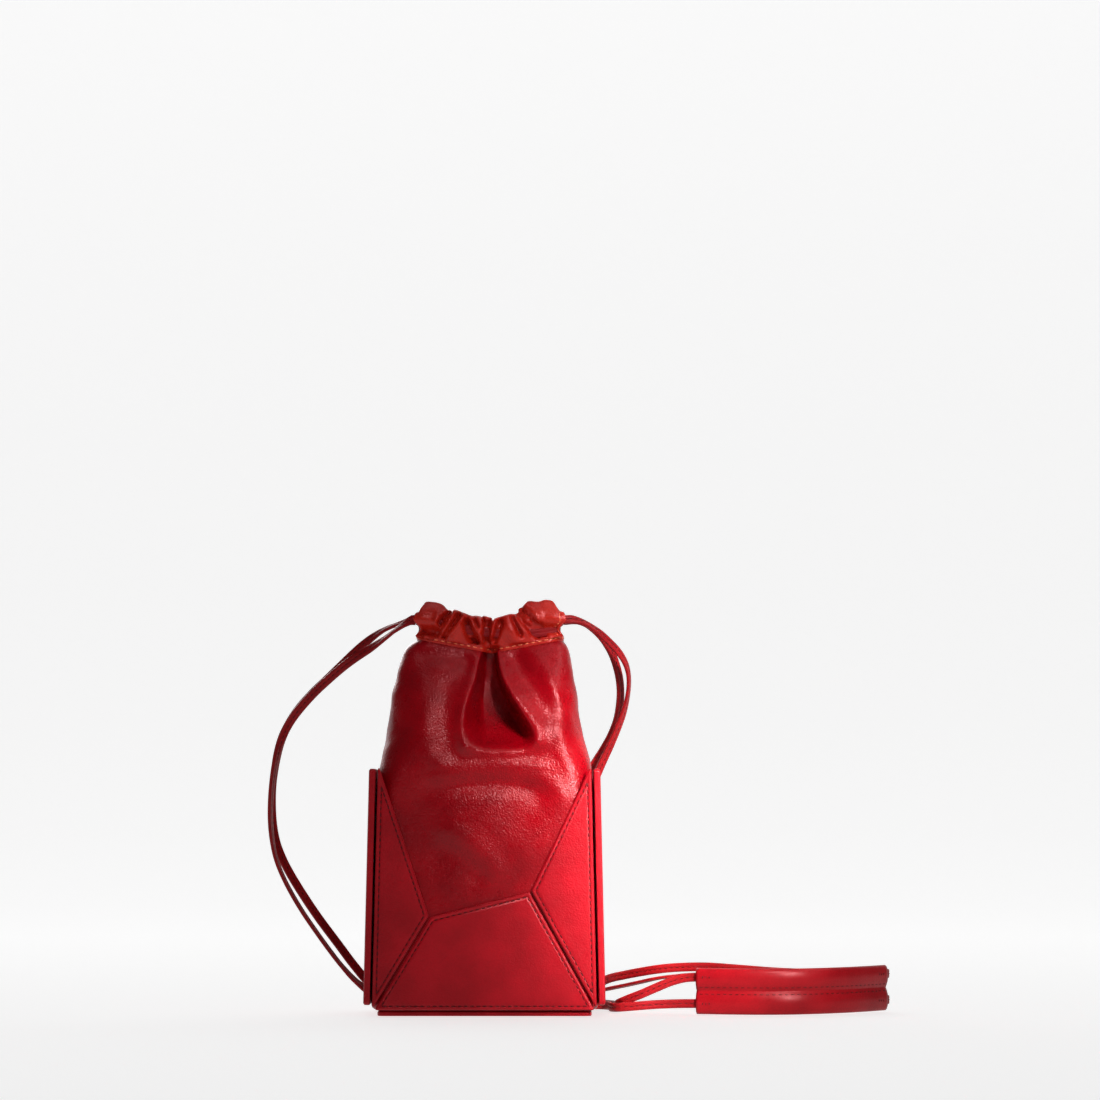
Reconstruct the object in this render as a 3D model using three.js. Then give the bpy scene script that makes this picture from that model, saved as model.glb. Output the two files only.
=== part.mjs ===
// Drawstring shoulder pouch: a soft leather bag gathered on two straps, cased in stiff leather boards.
// Millimetres, +Z up, front towards -Y. The origin is the centre of the base, on the floor.
import * as THREE from "three";

// Driving dimensions: the stiff boards
const baseWidth = 132.4; // over the outer faces of the side boards, at the floor
const baseDepth = 82; // over the outer faces of the front and back boards, at the floor
const boardTop = 135.4; // height of the boards
const boardThickness = 2.5; // of the front and back boards
const sideBoardThickness = 3.3;
const boardEdge = 0.6; // rounding of a board's edges
const boardLean = THREE.MathUtils.degToRad(1.25); // every upright board leans in by this much
const frontBoardFoot = 3.3; // height of the lower edge of the front and back boards
const sideBoardFoot = 6; // height of the lower edge of the side boards
const boardGap = 1.3; // open seam between neighbouring boards
const boardCorner = 0.75; // corner radius of the pointed boards
const sideBoardCorner = 2.2;
const seamFoot = 1.2; // height at which the slanting seams would reach the side boards
const leftTipRounding = 6.6; // how much of the left board's upper corner its rounding takes off
const rightTipRounding = 4.6;
const baseBoardInset = 7.4; // from the side boards' outer face to the end of the base board
const baseBoardRecess = 3.6; // from the front boards' outer face to the edge of the base board
const baseBoardThickness = 2.5;
const baseBoardCorner = 4;
const leftApex = [-30, 54.6]; // where the left board, the lower board and the window meet
const rightApex = [25, 68.4]; // where the right board, the lower board and the window meet

// Driving dimensions: the soft pouch
const seat = 0.3; // clearance between pieces that touch
const leather = 2; // leather and lining together
const neckCentre = 2.6; // the gathered neck sits a little to the right
const rimLow = 201.5; // height of the pouch's top edge at the crease
const rimRise = 6.8; // how much higher it is at the sides
const rimHalfWidth = 39.6;
const rimHalfDepth = 10;
const creaseAt = 3.4; // where the deep crease in the front meets the rim
const creaseDepth = 3.2;

// Driving dimensions: the two tunnels for the drawstrings
const tunnelLeft = -38.4;
const tunnelRight = 42.8;
const tunnelDepth = 8; // from the middle of the mouth to the middle of a tunnel
const tunnelHollow = [5.2, 11.6]; // width and height of the space that the straps run in
const tunnelMid = 211.5; // height of the tunnel's middle at the neck's centre
const tunnelRise = 4.4; // how much higher its ends lie
const innerWallShort = 3.4; // a tunnel's inner wall stops this far short of its outer wall
const tunnelFootShort = 4; // its foot stops this far short
const tunnelShoulderShort = 1.4; // and its upper edge this far

// Driving dimensions: straps and shoulder pad
const strapWidth = 5;
const strapThickness = 1.8;
const laneOffset = 2.85; // the two straps in a tunnel lie this far above and below its middle
const laneSpread = 1.2; // and this far in front of and behind it
const padHeight = 25;
const padThickness = 5.2;
const padGroove = 12.8; // height of the stitched groove between the pad's two tunnels
const padUpperLane = 20.2; // height of the strap in the upper tunnel
const padLowerLane = 5.6;
const padHollow = [2.8, 6]; // thickness and height of the space round each strap

const leatherRed = 0x9c1820;
const leatherLit = 0xc4202c;
const strapRed = 0xa82630;

const clamp = THREE.MathUtils.clamp;
const mix = THREE.MathUtils.lerp;
const smooth = (t) => THREE.MathUtils.smoothstep(t, 0, 1);
const bell = (distance, width) => Math.exp(-0.5 * (distance / width) ** 2);

const bag = new THREE.Group();

function leatherMaterial(colour, roughness) {
  return new THREE.MeshStandardMaterial({ color: colour, roughness, metalness: 0 });
}

function addPiece(parent, name, geometry, colour, roughness = 0.45) {
  const mesh = new THREE.Mesh(geometry, leatherMaterial(colour, roughness));
  mesh.name = name;
  parent.add(mesh);
  return mesh;
}

// Outlines of the boards

// Moves every side of a convex outline, listed anticlockwise, inwards by a distance.
function insetOutline(corners, distance) {
  const count = corners.length;
  const sides = corners.map((corner, i) => {
    const next = corners[(i + 1) % count];
    const along = new THREE.Vector2(next[0] - corner[0], next[1] - corner[1]).normalize();
    const inward = new THREE.Vector2(-along.y, along.x);
    return { start: new THREE.Vector2(...corner).addScaledVector(inward, distance), along };
  });
  return sides.map((side, i) => {
    const before = sides[(i + count - 1) % count];
    const gap = side.start.clone().sub(before.start);
    const reach = gap.cross(side.along) / before.along.cross(side.along);
    return before.start.clone().addScaledVector(before.along, reach);
  });
}

// A closed shape inside the corners, listed anticlockwise, with an arc of the radius in each.
function roundedShape(corners, radius) {
  const shape = new THREE.Shape();
  const count = corners.length;
  corners.forEach((corner, i) => {
    const arriving = corner.clone().sub(corners[(i + count - 1) % count]).normalize();
    const leaving = corners[(i + 1) % count].clone().sub(corner).normalize();
    const halfAngle = (Math.PI - Math.acos(clamp(arriving.dot(leaving), -1, 1))) / 2;
    const inward = leaving.clone().sub(arriving).normalize();
    const middle = corner.clone().addScaledVector(inward, radius / Math.sin(halfAngle));
    const from = Math.atan2(-arriving.x, arriving.y);
    const to = Math.atan2(-leaving.x, leaving.y);
    shape.absarc(middle.x, middle.y, radius, from, to, false);
  });
  return shape;
}

// A leather-wrapped board lying in its own plane, with its inner face at 0 and softly rounded edges.
function boardGeometry(corners, radius, thickness, inset) {
  const outline = roundedShape(insetOutline(corners, inset), radius);
  return new THREE.ExtrudeGeometry(outline, {
    depth: thickness - 2 * boardEdge,
    bevelThickness: boardEdge,
    bevelSize: boardEdge,
    bevelOffset: -boardEdge,
    bevelSegments: 1,
    curveSegments: 2,
  }).translate(0, 0, boardEdge);
}

// A plane that stands on the floor, leans in at the top and faces outwards; turn 0 is the front.
function leaningWall(turn, distance, thickness) {
  const heading = new THREE.Group();
  heading.rotation.z = turn;
  const wall = new THREE.Group();
  wall.position.y = -(distance - thickness / Math.cos(boardLean));
  wall.rotation.x = Math.PI / 2 - boardLean;
  heading.add(wall);
  bag.add(heading);
  return wall;
}

const leanIn = Math.tan(boardLean);
const upTheBoard = 1 / Math.cos(boardLean);
const wallTop = boardTop * upTheBoard;
const wallHalfWidth = baseWidth / 2 - sideBoardThickness - boardGap / 2;

function wallEdge(height) {
  return wallHalfWidth - height * leanIn;
}

// The front and the back: two pointed boards and a lower one round a five-sided window
function addWindowWall(side, turn) {
  const wall = leaningWall(turn, baseDepth / 2, boardThickness);
  const cornerLeft = [-wallEdge(seamFoot), seamFoot];
  const cornerRight = [wallEdge(seamFoot), seamFoot];
  const leftTip = wallTop + leftTipRounding;
  const rightTip = wallTop + rightTipRounding;
  const leftCorners = [cornerLeft, leftApex, [-wallEdge(leftTip), leftTip]];
  const rightCorners = [cornerRight, [wallEdge(rightTip), rightTip], rightApex];
  const foot = frontBoardFoot - boardGap / 2;
  const lowerCorners = [alongSeam(cornerLeft, leftApex, foot), alongSeam(cornerRight, rightApex, foot)];
  lowerCorners.push(rightApex, leftApex);
  const board = (corners) => boardGeometry(corners, boardCorner, boardThickness, boardGap / 2);
  addPiece(wall, side + "_board_left", board(leftCorners), leatherRed);
  addPiece(wall, side + "_board_right", board(rightCorners), leatherLit);
  addPiece(wall, side + "_board_lower", board(lowerCorners), leatherRed);
}

// The point of a seam, from its corner to its apex, at a height.
function alongSeam(corner, apex, height) {
  const t = (height - corner[1]) / (apex[1] - corner[1]);
  return [mix(corner[0], apex[0], t), height];
}

// The side boards cover the ends of the front and back boards' seams.
function addSideBoard(name, turn) {
  const wall = leaningWall(turn, baseWidth / 2, sideBoardThickness);
  const halfFoot = baseDepth / 2 - seat - sideBoardFoot * leanIn;
  const halfTop = baseDepth / 2 - seat - wallTop * leanIn;
  const corners = [
    [-halfFoot, sideBoardFoot],
    [halfFoot, sideBoardFoot],
    [halfTop, wallTop],
    [-halfTop, wallTop],
  ];
  const board = boardGeometry(corners, sideBoardCorner, sideBoardThickness, 0);
  addPiece(wall, name, board, leatherRed);
}

function addBaseBoard() {
  const halfWidth = baseWidth / 2 - baseBoardInset;
  const halfDepth = baseDepth / 2 - baseBoardRecess;
  const corners = [
    [-halfWidth, -halfDepth],
    [halfWidth, -halfDepth],
    [halfWidth, halfDepth],
    [-halfWidth, halfDepth],
  ];
  addPiece(bag, "base_board", boardGeometry(corners, baseBoardCorner, baseBoardThickness, 0), leatherRed);
}

// The soft pouch

// Height of the pouch's top edge: lowest at the crease, rising to both sides.
function rimHeight(x) {
  return rimLow + rimRise * clamp(Math.abs(x - creaseAt) / (rimHalfWidth - 2), 0, 1) ** 1.1;
}

const skinSeat = seat + 0.15; // the skin bulges slightly between its sections
const insideBoardsX = (z) => baseWidth / 2 - sideBoardThickness - skinSeat - z * leanIn;
const insideBoardsY = (z) => baseDepth / 2 - boardThickness - skinSeat - z * leanIn;
const pouchFloor = baseBoardThickness + seat;

function boardedLevel(z, drawIn, corner) {
  const halfX = insideBoardsX(z) - drawIn;
  return { z, left: -halfX, right: halfX, depth: insideBoardsY(z) - drawIn, corner };
}

// Cross sections of the pouch from the floor to the rim. Above the boards it draws in to the neck.
const pouchLevels = [
  boardedLevel(pouchFloor, 3.4, 7),
  boardedLevel(pouchFloor + 1.4, 0.8, 8),
  boardedLevel(pouchFloor + 4, 0, 9),
  boardedLevel(36, 0, 9),
  boardedLevel(68, 0, 9),
  boardedLevel(84, 0, 9),
  boardedLevel(100, 0, 9),
  boardedLevel(114, 0, 10),
  boardedLevel(126, 0.1, 12),
  { z: 134, left: -58.6, right: 58.9, depth: 34.9, corner: 14 },
  { z: 140, left: -57.6, right: 58.2, depth: 34.8, corner: 17 },
  { z: 147, left: -56.2, right: 56.1, depth: 34.2, corner: 20 },
  { z: 154, left: -54.9, right: 54.2, depth: 33.0, corner: 22 },
  { z: 161, left: -53.9, right: 52.8, depth: 31.5, corner: 22 },
  { z: 169, left: -52.9, right: 52.0, depth: 29.2, corner: 21 },
  { z: 177, left: -52.7, right: 51.6, depth: 26.2, corner: 19 },
  { z: 184.5, left: -51.2, right: 50.6, depth: 22.6, corner: 17 },
  { z: 191.5, left: -49.8, right: 49.8, depth: 18.8, corner: 14.5 },
  { z: 198, left: -47.4, right: 48.2, depth: 15.0, corner: 12 },
  { z: 203.5, left: -43.8, right: 46.2, depth: 12.0, corner: 9.8 },
  {
    z: rimLow + rimRise,
    left: neckCentre - rimHalfWidth,
    right: neckCentre + rimHalfWidth,
    depth: rimHalfDepth,
    corner: 8.4,
  },
];
const neckStart = 169; // above this height the levels bend down to follow the rim

// The valley pressed into the front below the neck: its left edge, right edge and depth by height
const valley = [
  { z: 209, left: -0.6, right: 6.2, depth: creaseDepth },
  { z: 201, left: -2.4, right: 6.8, depth: 4.6 },
  { z: 194, left: -4.2, right: 7.8, depth: 8.6 },
  { z: 186, left: -5.4, right: 10.0, depth: 12.0 },
  { z: 178, left: -8.4, right: 14.0, depth: 14.5 },
  { z: 170, left: -10.8, right: 18.6, depth: 16.0 },
  { z: 162, left: -12.2, right: 24.0, depth: 15.5 },
  { z: 155, left: -12.0, right: 27.6, depth: 11.0 },
  { z: 150, left: -10.6, right: 28.0, depth: 5.0 },
  { z: 145.5, left: -8.0, right: 26.0, depth: 0.8 },
  { z: 142, left: -6.0, right: 24.0, depth: 0 },
];
const valleyLowest = 0.66; // the deepest line, as a share of the way from the left edge to the right

function valleyAt(z) {
  const top = valley[0];
  const bottom = valley[valley.length - 1];
  if (z >= top.z) return top;
  if (z <= bottom.z) return bottom;
  const i = valley.findIndex((row) => row.z <= z);
  const above = valley[i - 1];
  const below = valley[i];
  const t = (above.z - z) / (above.z - below.z);
  return {
    left: mix(above.left, below.left, t),
    right: mix(above.right, below.right, t),
    depth: mix(above.depth, below.depth, t),
  };
}

function valleyDepth(x, z) {
  const row = valleyAt(z);
  const lowest = mix(row.left, row.right, valleyLowest);
  const t = x < lowest ? (x - row.left) / (lowest - row.left) : (row.right - x) / (row.right - lowest);
  return row.depth * smooth(clamp(t, 0, 1));
}

// Soft ridges (positive height) and hollows (negative) that run along lines on the front and back
const frontFolds = [
  { height: 1.4, width: 3, line: [[-4, 199], [-6, 187], [-10.5, 176], [-13, 166], [-13.5, 156], [-11, 147]] },
  { height: 1.2, width: 3, line: [[-10, 146], [6, 143.6], [19, 145], [28, 149]] },
  { height: 1.6, width: 3.5, line: [[9, 190], [13.6, 180], [20, 170], [27.6, 161], [30.6, 153]] },
  { height: 2.2, width: 5, line: [[27, 201], [36.6, 185], [42, 169], [43.5, 155]] },
  { height: -1.8, width: 5, line: [[17, 193], [23, 183], [34, 172], [38, 163]] },
  { height: -2.2, width: 5, line: [[-14, 139.5], [6, 138], [24, 139], [35, 146]] },
  { height: 1.8, width: 4, line: [[-24, 131], [-6, 133.5], [16, 133.5], [32, 131], [41, 124], [43, 114]] },
  { height: -1.4, width: 5, line: [[-36, 196], [-38, 180], [-40, 160], [-43, 142]] },
  { height: 1.2, width: 6, line: [[-26, 192], [-27, 175], [-29, 158], [-30, 146]] },
];
const backFolds = [
  { height: -6, width: 6, line: [[-2, 204], [-3, 190], [-6, 176], [-9, 166]] },
  { height: 1.8, width: 4.5, line: [[-14, 198], [-17, 182], [-22, 166]] },
  { height: 1.6, width: 4.5, line: [[10, 198], [13, 182], [14, 168]] },
  { height: -3, width: 6, line: [[26, 198], [29, 180], [31, 164]] },
  { height: -1.6, width: 6, line: [[-30, 150], [-6, 143], [18, 144], [34, 151]] },
];
const windowBulge = { x: -1, z: 101, height: 2.6, width: 16 };

function distanceToLine(x, z, line) {
  let nearest = Infinity;
  for (let i = 0; i + 1 < line.length; i += 1) {
    const [ax, az] = line[i];
    const [bx, bz] = line[i + 1];
    const along = ((x - ax) * (bx - ax) + (z - az) * (bz - az)) / ((bx - ax) ** 2 + (bz - az) ** 2);
    const t = clamp(along, 0, 1);
    nearest = Math.min(nearest, Math.hypot(x - mix(ax, bx, t), z - mix(az, bz, t)));
  }
  return nearest;
}

function foldRelief(x, z, folds) {
  return folds.reduce((sum, fold) => sum + fold.height * bell(distanceToLine(x, z, fold.line), fold.width), 0);
}

const freeOfBoards = (z) => smooth((z - boardTop + 4) / 10);
const fadeAtRim = (x, z) => smooth((rimHeight(x) - z) / 7);

// How far the front stands out (positive) or is pressed in (negative).
function frontRelief(x, z) {
  const bulge = windowBulge.height * bell(Math.hypot(x - windowBulge.x, z - windowBulge.z), windowBulge.width);
  const folds = foldRelief(x, z, frontFolds) * fadeAtRim(x, z);
  return bulge + folds * Math.max(freeOfBoards(z), bell(z - 124, 8) * bell(x, 24)) - valleyDepth(x, z);
}

function backRelief(x, z) {
  const bulge = windowBulge.height * bell(Math.hypot(x + windowBulge.x, z - windowBulge.z), windowBulge.width);
  return bulge + foldRelief(x, z, backFolds) * fadeAtRim(x, z) * freeOfBoards(z);
}

const sideTuck = { z: 186, depth: 2.5, width: 9, reach: 7 };

// A point of the pouch's skin: share 0 to 1 goes round from the middle of the back, inset goes inwards.
function pouchPoint(share, level, inset) {
  const centre = (level.left + level.right) / 2;
  const halfX = (level.right - level.left) / 2 - inset;
  const halfY = level.depth - inset;
  const corner = Math.max(level.corner - inset, 1.5);
  const flatX = halfX - corner;
  const flatY = halfY - corner;
  const arc = (Math.PI / 2) * corner;
  const quarter = flatX + arc + flatY;
  // One quarter is worked out, then mirrored: from the middle of a long face to the middle of an end.
  const round = share * 4;
  const part = Math.floor(round) % 4;
  const within = round - Math.floor(round);
  const along = quarter * (part % 2 === 0 ? within : 1 - within);
  let x = halfX;
  let y = 0;
  let normalX = 1;
  let normalY = 0;
  if (along <= flatX) {
    x = along;
    y = halfY;
    normalX = 0;
    normalY = 1;
  } else if (along < flatX + arc) {
    const angle = (along - flatX) / corner;
    normalX = Math.sin(angle);
    normalY = Math.cos(angle);
    x = flatX + corner * normalX;
    y = flatY + corner * normalY;
  } else {
    y = Math.max(flatY - (along - flatX - arc), 0);
  }
  const signX = part < 2 ? -1 : 1;
  const signY = part === 0 || part === 3 ? 1 : -1;
  x = centre + signX * x;
  const rimPull = smooth((level.z - neckStart) / (rimLow + rimRise - neckStart));
  const z = level.z - rimPull * (rimLow + rimRise - rimHeight(x));
  const reliefHere = signY < 0 ? frontRelief(x, z) : backRelief(x, z);
  const tuck = sideTuck.depth * bell(z - sideTuck.z, sideTuck.width) * bell(y, sideTuck.reach);
  return new THREE.Vector3(
    x - signX * normalX * tuck,
    signY * (y + reliefHere * normalY),
    inset > 0 ? Math.max(z, pouchFloor + inset) : z,
  );
}

// The skin goes up outside, over the rim and down inside, closed on the axis at both ends.
function addPouch() {
  const columns = 52;
  const crowdFront = 0.42; // the front gets more columns than the back, where its folds need them
  const innerLevels = pouchLevels.filter((level, i) => i > 8 || i === 2 || i === 5);
  const rows = [
    ...pouchLevels.map((level) => ({ level, inset: 0 })),
    ...innerLevels.reverse().map((level) => ({ level, inset: leather })),
  ];
  const last = rows.length + 1;
  const profile = [new THREE.Vector2(0, 0)];
  rows.forEach((row, i) => profile.push(new THREE.Vector2(1, i + 1)));
  profile.push(new THREE.Vector2(0, last));
  const geometry = new THREE.LatheGeometry(profile, columns);
  const place = geometry.getAttribute("position");
  for (let i = 0; i < place.count; i += 1) {
    const step = Math.round(place.getY(i));
    if (step === 0) {
      place.setXYZ(i, 0, 0, pouchFloor);
      continue;
    }
    if (step === last) {
      place.setXYZ(i, 0, 0, pouchFloor + leather);
      continue;
    }
    const turn = (Math.atan2(place.getX(i), place.getZ(i)) / (2 * Math.PI) + 1) % 1;
    const column = Math.round(turn * columns) % columns;
    const even = column / columns;
    const share = even + (crowdFront * Math.sin(2 * Math.PI * even)) / (2 * Math.PI);
    const row = rows[step - 1];
    const point = pouchPoint(share, row.level, row.inset);
    place.setXYZ(i, point.x, point.y, point.z);
  }
  addPiece(bag, "pouch", geometry, leatherLit, 0.35);
}

// The gathered tunnels

// Height of a tunnel's middle along its length.
function tunnelHeight(x) {
  const half = x < neckCentre ? neckCentre - tunnelLeft : tunnelRight - neckCentre;
  return tunnelMid + tunnelRise * clamp(Math.abs(x - neckCentre) / half, 0, 1.2) ** 2;
}

// The tunnel's upper edge: a full, smooth end on each side and low gathers between them
const upperEdge = [
  [-38.4, 222.8], [-37.2, 226], [-33.2, 227.3], [-27.6, 227.1], [-23.7, 225.8], [-20.3, 223], [-17, 223.4],
  [-12, 221.8], [-7.6, 220.4], [-4.7, 220.4], [1.3, 219], [3.4, 218.6], [7.1, 219.6], [13.6, 221.2],
  [17.6, 221.6], [21.4, 225.8], [23.6, 227.5], [29.2, 227.4], [33.7, 228.2], [39.2, 225.6], [42.8, 222.8],
];

function upperHeight(x) {
  const i = clamp(upperEdge.findIndex((point) => point[0] >= x), 1, upperEdge.length - 1);
  const [ax, az] = upperEdge[i - 1];
  const [bx, bz] = upperEdge[i];
  return mix(az, bz, clamp((x - ax) / (bx - ax), 0, 1));
}

// The gathers run from valley to valley; the deep crease lies between the sixth and seventh.
const gatherValleys = [-22.5, -18, -13.4, -8.8, -5.2, -1.8, 1.6, 4.6, 8, 20.4, 24.6];

function gather(x) {
  if (x <= gatherValleys[0] || x >= gatherValleys[gatherValleys.length - 1]) return 0.35;
  const i = gatherValleys.findIndex((valleyX) => valleyX > x);
  const t = (x - gatherValleys[i - 1]) / (gatherValleys[i] - gatherValleys[i - 1]);
  const crease = 0.8 * bell(x - creaseAt, 2.4);
  return 1.6 * Math.sin(Math.PI * t) ** 0.8 - 0.8 - crease;
}

function tunnelStations() {
  const stations = [tunnelLeft, -37, -34.5, -30.5, -26.5];
  gatherValleys.slice(0, -1).forEach((start, i) => {
    const width = gatherValleys[i + 1] - start;
    const steps = width > 6 ? 5 : 3;
    for (let k = 0; k < steps; k += 1) stations.push(start + (width * k) / steps);
  });
  stations.push(gatherValleys[gatherValleys.length - 1], 28, 32, 36, 39.5, 41.6, tunnelRight);
  return stations;
}

// Section of a tunnel round its middle: x outwards, y up, drawn for the neck's centre
const outerSection = [
  [1.5, -10], [2.7, -8], [4.0, -4.5], [4.6, 0.5], [3.7, 5], [1.4, 8],
  [-1.4, 8], [-3.4, 5.4], [-3.9, 0], [-3.6, -4.8], [-1.6, -7.4], [-1.1, -10],
];
const sectionFoot = -10;
const endReach = 9; // the slanting cut of an end is taken up over this length
const sectionCrown = 8;

// side -1 is the front tunnel, 1 the back one, which stands a little lower.
function addTunnel(name, side) {
  const stations = tunnelStations();
  const [hollowWidth, hollowHeight] = tunnelHollow;
  const halfWidth = hollowWidth / 2;
  const halfHeight = hollowHeight / 2;
  const bevel = 0.7;
  const shape = new THREE.Shape(outerSection.map((point) => new THREE.Vector2(...point)));
  const hollow = new THREE.Path();
  hollow.moveTo(halfWidth, halfHeight - bevel);
  hollow.lineTo(halfWidth - bevel, halfHeight);
  hollow.lineTo(bevel - halfWidth, halfHeight);
  hollow.lineTo(-halfWidth, halfHeight - bevel);
  hollow.lineTo(-halfWidth, bevel - halfHeight);
  hollow.lineTo(bevel - halfWidth, -halfHeight);
  hollow.lineTo(halfWidth - bevel, -halfHeight);
  hollow.lineTo(halfWidth, bevel - halfHeight);
  hollow.closePath();
  shape.holes.push(hollow);
  const geometry = new THREE.ExtrudeGeometry(shape, {
    depth: stations.length - 1,
    steps: stations.length - 1,
    bevelEnabled: false,
  });
  const place = geometry.getAttribute("position");
  for (let i = 0; i < place.count; i += 1) {
    const x = stations[Math.round(place.getZ(i))];
    const puff = gather(x);
    const endBulge = x < gatherValleys[0] || x > 24 ? 1 : 0;
    let out = place.getX(i);
    let up = place.getY(i);
    const middle = tunnelHeight(x);
    const foot = rimHeight(x) + skinSeat - middle;
    const crown = upperHeight(x) - middle + 0.3 * puff - (side > 0 ? 0.8 : 0);
    const shortening = innerWallShort * clamp(0.5 - out / hollowWidth, 0, 1);
    let footShare = 0;
    let shoulder = 0;
    const onOuterSkin = Math.abs(out) > halfWidth || Math.abs(up) > halfHeight + 0.01;
    if (onOuterSkin && out > halfWidth) out = halfWidth + (out - halfWidth) * (1 + 0.42 * puff + 0.3 * endBulge);
    if (onOuterSkin && up < -halfHeight) {
      footShare = (-halfHeight - up) / (-halfHeight - sectionFoot);
      up = mix(-halfHeight - 0.6, foot, footShare);
      out += footShare - (side < 0 ? creaseDepth * footShare * bell(x - creaseAt, 2.6) : 0);
    }
    if (onOuterSkin && up > halfHeight) {
      shoulder = tunnelShoulderShort;
      up = mix(halfHeight, crown, (up - halfHeight) / (sectionCrown - halfHeight));
    }
    const nearEnd = clamp(1 - Math.min(x - tunnelLeft, tunnelRight - x) / endReach, 0, 1);
    const drawnBack = nearEnd * (shortening + tunnelFootShort * footShare + shoulder);
    place.setXYZ(i, x - Math.sign(x - neckCentre) * drawnBack, side * (tunnelDepth + out), middle + up);
  }
  if (side < 0) turnFacesRound(geometry);
  addPiece(bag, name, geometry, leatherLit);
}

// Mapping a section to the other side mirrors it, so its triangles are turned to face out again.
function turnFacesRound(geometry) {
  const place = geometry.getAttribute("position");
  const held = new THREE.Vector3();
  for (let i = 0; i < place.count; i += 3) {
    held.fromBufferAttribute(place, i + 1);
    place.setXYZ(i + 1, place.getX(i + 2), place.getY(i + 2), place.getZ(i + 2));
    place.setXYZ(i + 2, held.x, held.y, held.z);
  }
}

// Flat straps

// A path whose steps are its own points, with the direction that the strap's face looks given at each.
class StrapPath extends THREE.CatmullRomCurve3 {
  constructor(rows) {
    super(rows.map((row) => new THREE.Vector3(row[0], row[1], row[2])), false, "centripetal");
    this.faces = rows.map((row) => new THREE.Vector3(...row[3]));
  }

  getSpacedPoints() {
    return this.points.map((point) => point.clone());
  }

  computeFrenetFrames() {
    const end = this.points.length - 1;
    const tangents = this.points.map((point, i) => {
      const before = this.points[Math.max(i - 1, 0)];
      const after = this.points[Math.min(i + 1, end)];
      return after.clone().sub(before).normalize();
    });
    const normals = tangents.map((tangent, i) => {
      const face = this.faces[i].clone();
      return face.addScaledVector(tangent, -face.dot(tangent)).normalize();
    });
    const binormals = tangents.map((tangent, i) => tangent.clone().cross(normals[i]));
    return { tangents, normals, binormals };
  }
}

function strapGeometry(rows) {
  const half = strapThickness / 2;
  const edge = strapWidth / 2;
  const round = strapThickness / 4;
  const section = new THREE.Shape([
    new THREE.Vector2(half, round - edge),
    new THREE.Vector2(half, edge - round),
    new THREE.Vector2(half - round, edge),
    new THREE.Vector2(round - half, edge),
    new THREE.Vector2(-half, edge - round),
    new THREE.Vector2(-half, round - edge),
    new THREE.Vector2(round - half, -edge),
    new THREE.Vector2(half - round, -edge),
  ]);
  return new THREE.ExtrudeGeometry(section, { steps: rows.length - 1, extrudePath: new StrapPath(rows) });
}

// Directions that a strap's face can look
const up = [0, 0, 1];
const front = [0, -1, 0];
const back = [0, 1, 0];
const left = [-1, 0, 0];
const right = [1, 0, 0];
const rightUp = [0.85, -0.2, 0.5];

// The free stretches of the four straps: a point, and the way the face looks there
const frontLeftRoute = [
  [-39.5, -9.2, 218.7, front],
  [-40.5, -9.2, 218.7, front],
  [-42.8, -8.9, 217.5, [-0.2, -0.85, 0.5]],
  [-46, -8.2, 215.5, [-0.45, -0.5, 0.75]],
  [-51.1, -7, 212.1, [-0.55, -0.25, 0.8]],
  [-56.7, -5, 207.9, [-0.5, -0.4, 0.75]],
  [-63.5, -2, 203.3, [-0.35, -0.75, 0.55]],
  [-71.5, 1.5, 198.5, [-0.1, -0.95, 0.2]],
  [-79.4, 4.5, 193, front],
  [-88.6, 8.5, 185.4, front],
  [-96.6, 12, 178.1, front],
  [-104, 15.5, 170.2, [0.15, -1, 0]],
  [-109.6, 18.5, 163, [0.3, -0.95, 0]],
  [-113.8, 21, 155.7, [0.5, -0.85, 0]],
  [-116.8, 23.5, 148, [0.7, -0.7, 0]],
  [-119.2, 26.5, 138, [0.85, -0.5, 0]],
  [-120.9, 29.5, 127, [0.9, -0.4, 0]],
  [-121.8, 32, 116, [0.93, -0.35, 0]],
  [-121.9, 34, 105.8, [0.93, -0.3, 0.1]],
  [-121, 36, 95.5, [0.93, -0.25, 0.2]],
  [-118.8, 38, 84.8, [0.9, -0.2, 0.35]],
  [-115, 40, 75, rightUp],
  [-109.8, 42, 64.8, rightUp],
  [-103.7, 43.8, 54.6, rightUp],
  [-96.7, 45.3, 44.3, rightUp],
  [-89.3, 46.5, 34, rightUp],
  [-82, 47.5, 24.6, rightUp],
  [-73.5, 48.2, 15.6, [0.6, -0.4, 0.6]],
  [-62, 48.6, 7.6, [0.2, -0.9, 0.3]],
  [-48, 48.6, 3.1, front],
  [-10, 48.6, 2.7, front],
  [30, 48.6, 2.7, front],
  [56, 48.2, 2.7, front],
  [65.2, 45, 2.7, [-0.6, -0.8, 0]],
  [69, 37, 2.7, left],
  [69.6, 24, 2.7, left],
  [70.4, 12, 2.8, [-1, -0.25, 0]],
  [74, 4, 3.1, [-0.6, -0.8, 0]],
  [83, 0.4, 3.9, front],
  [95, -0.8, 4.9, front],
  [107, -2.4, 5.4, [-0.25, -0.97, 0]],
  [117, -5.5, 5.6, [-0.36, -0.93, 0]],
];
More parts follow.
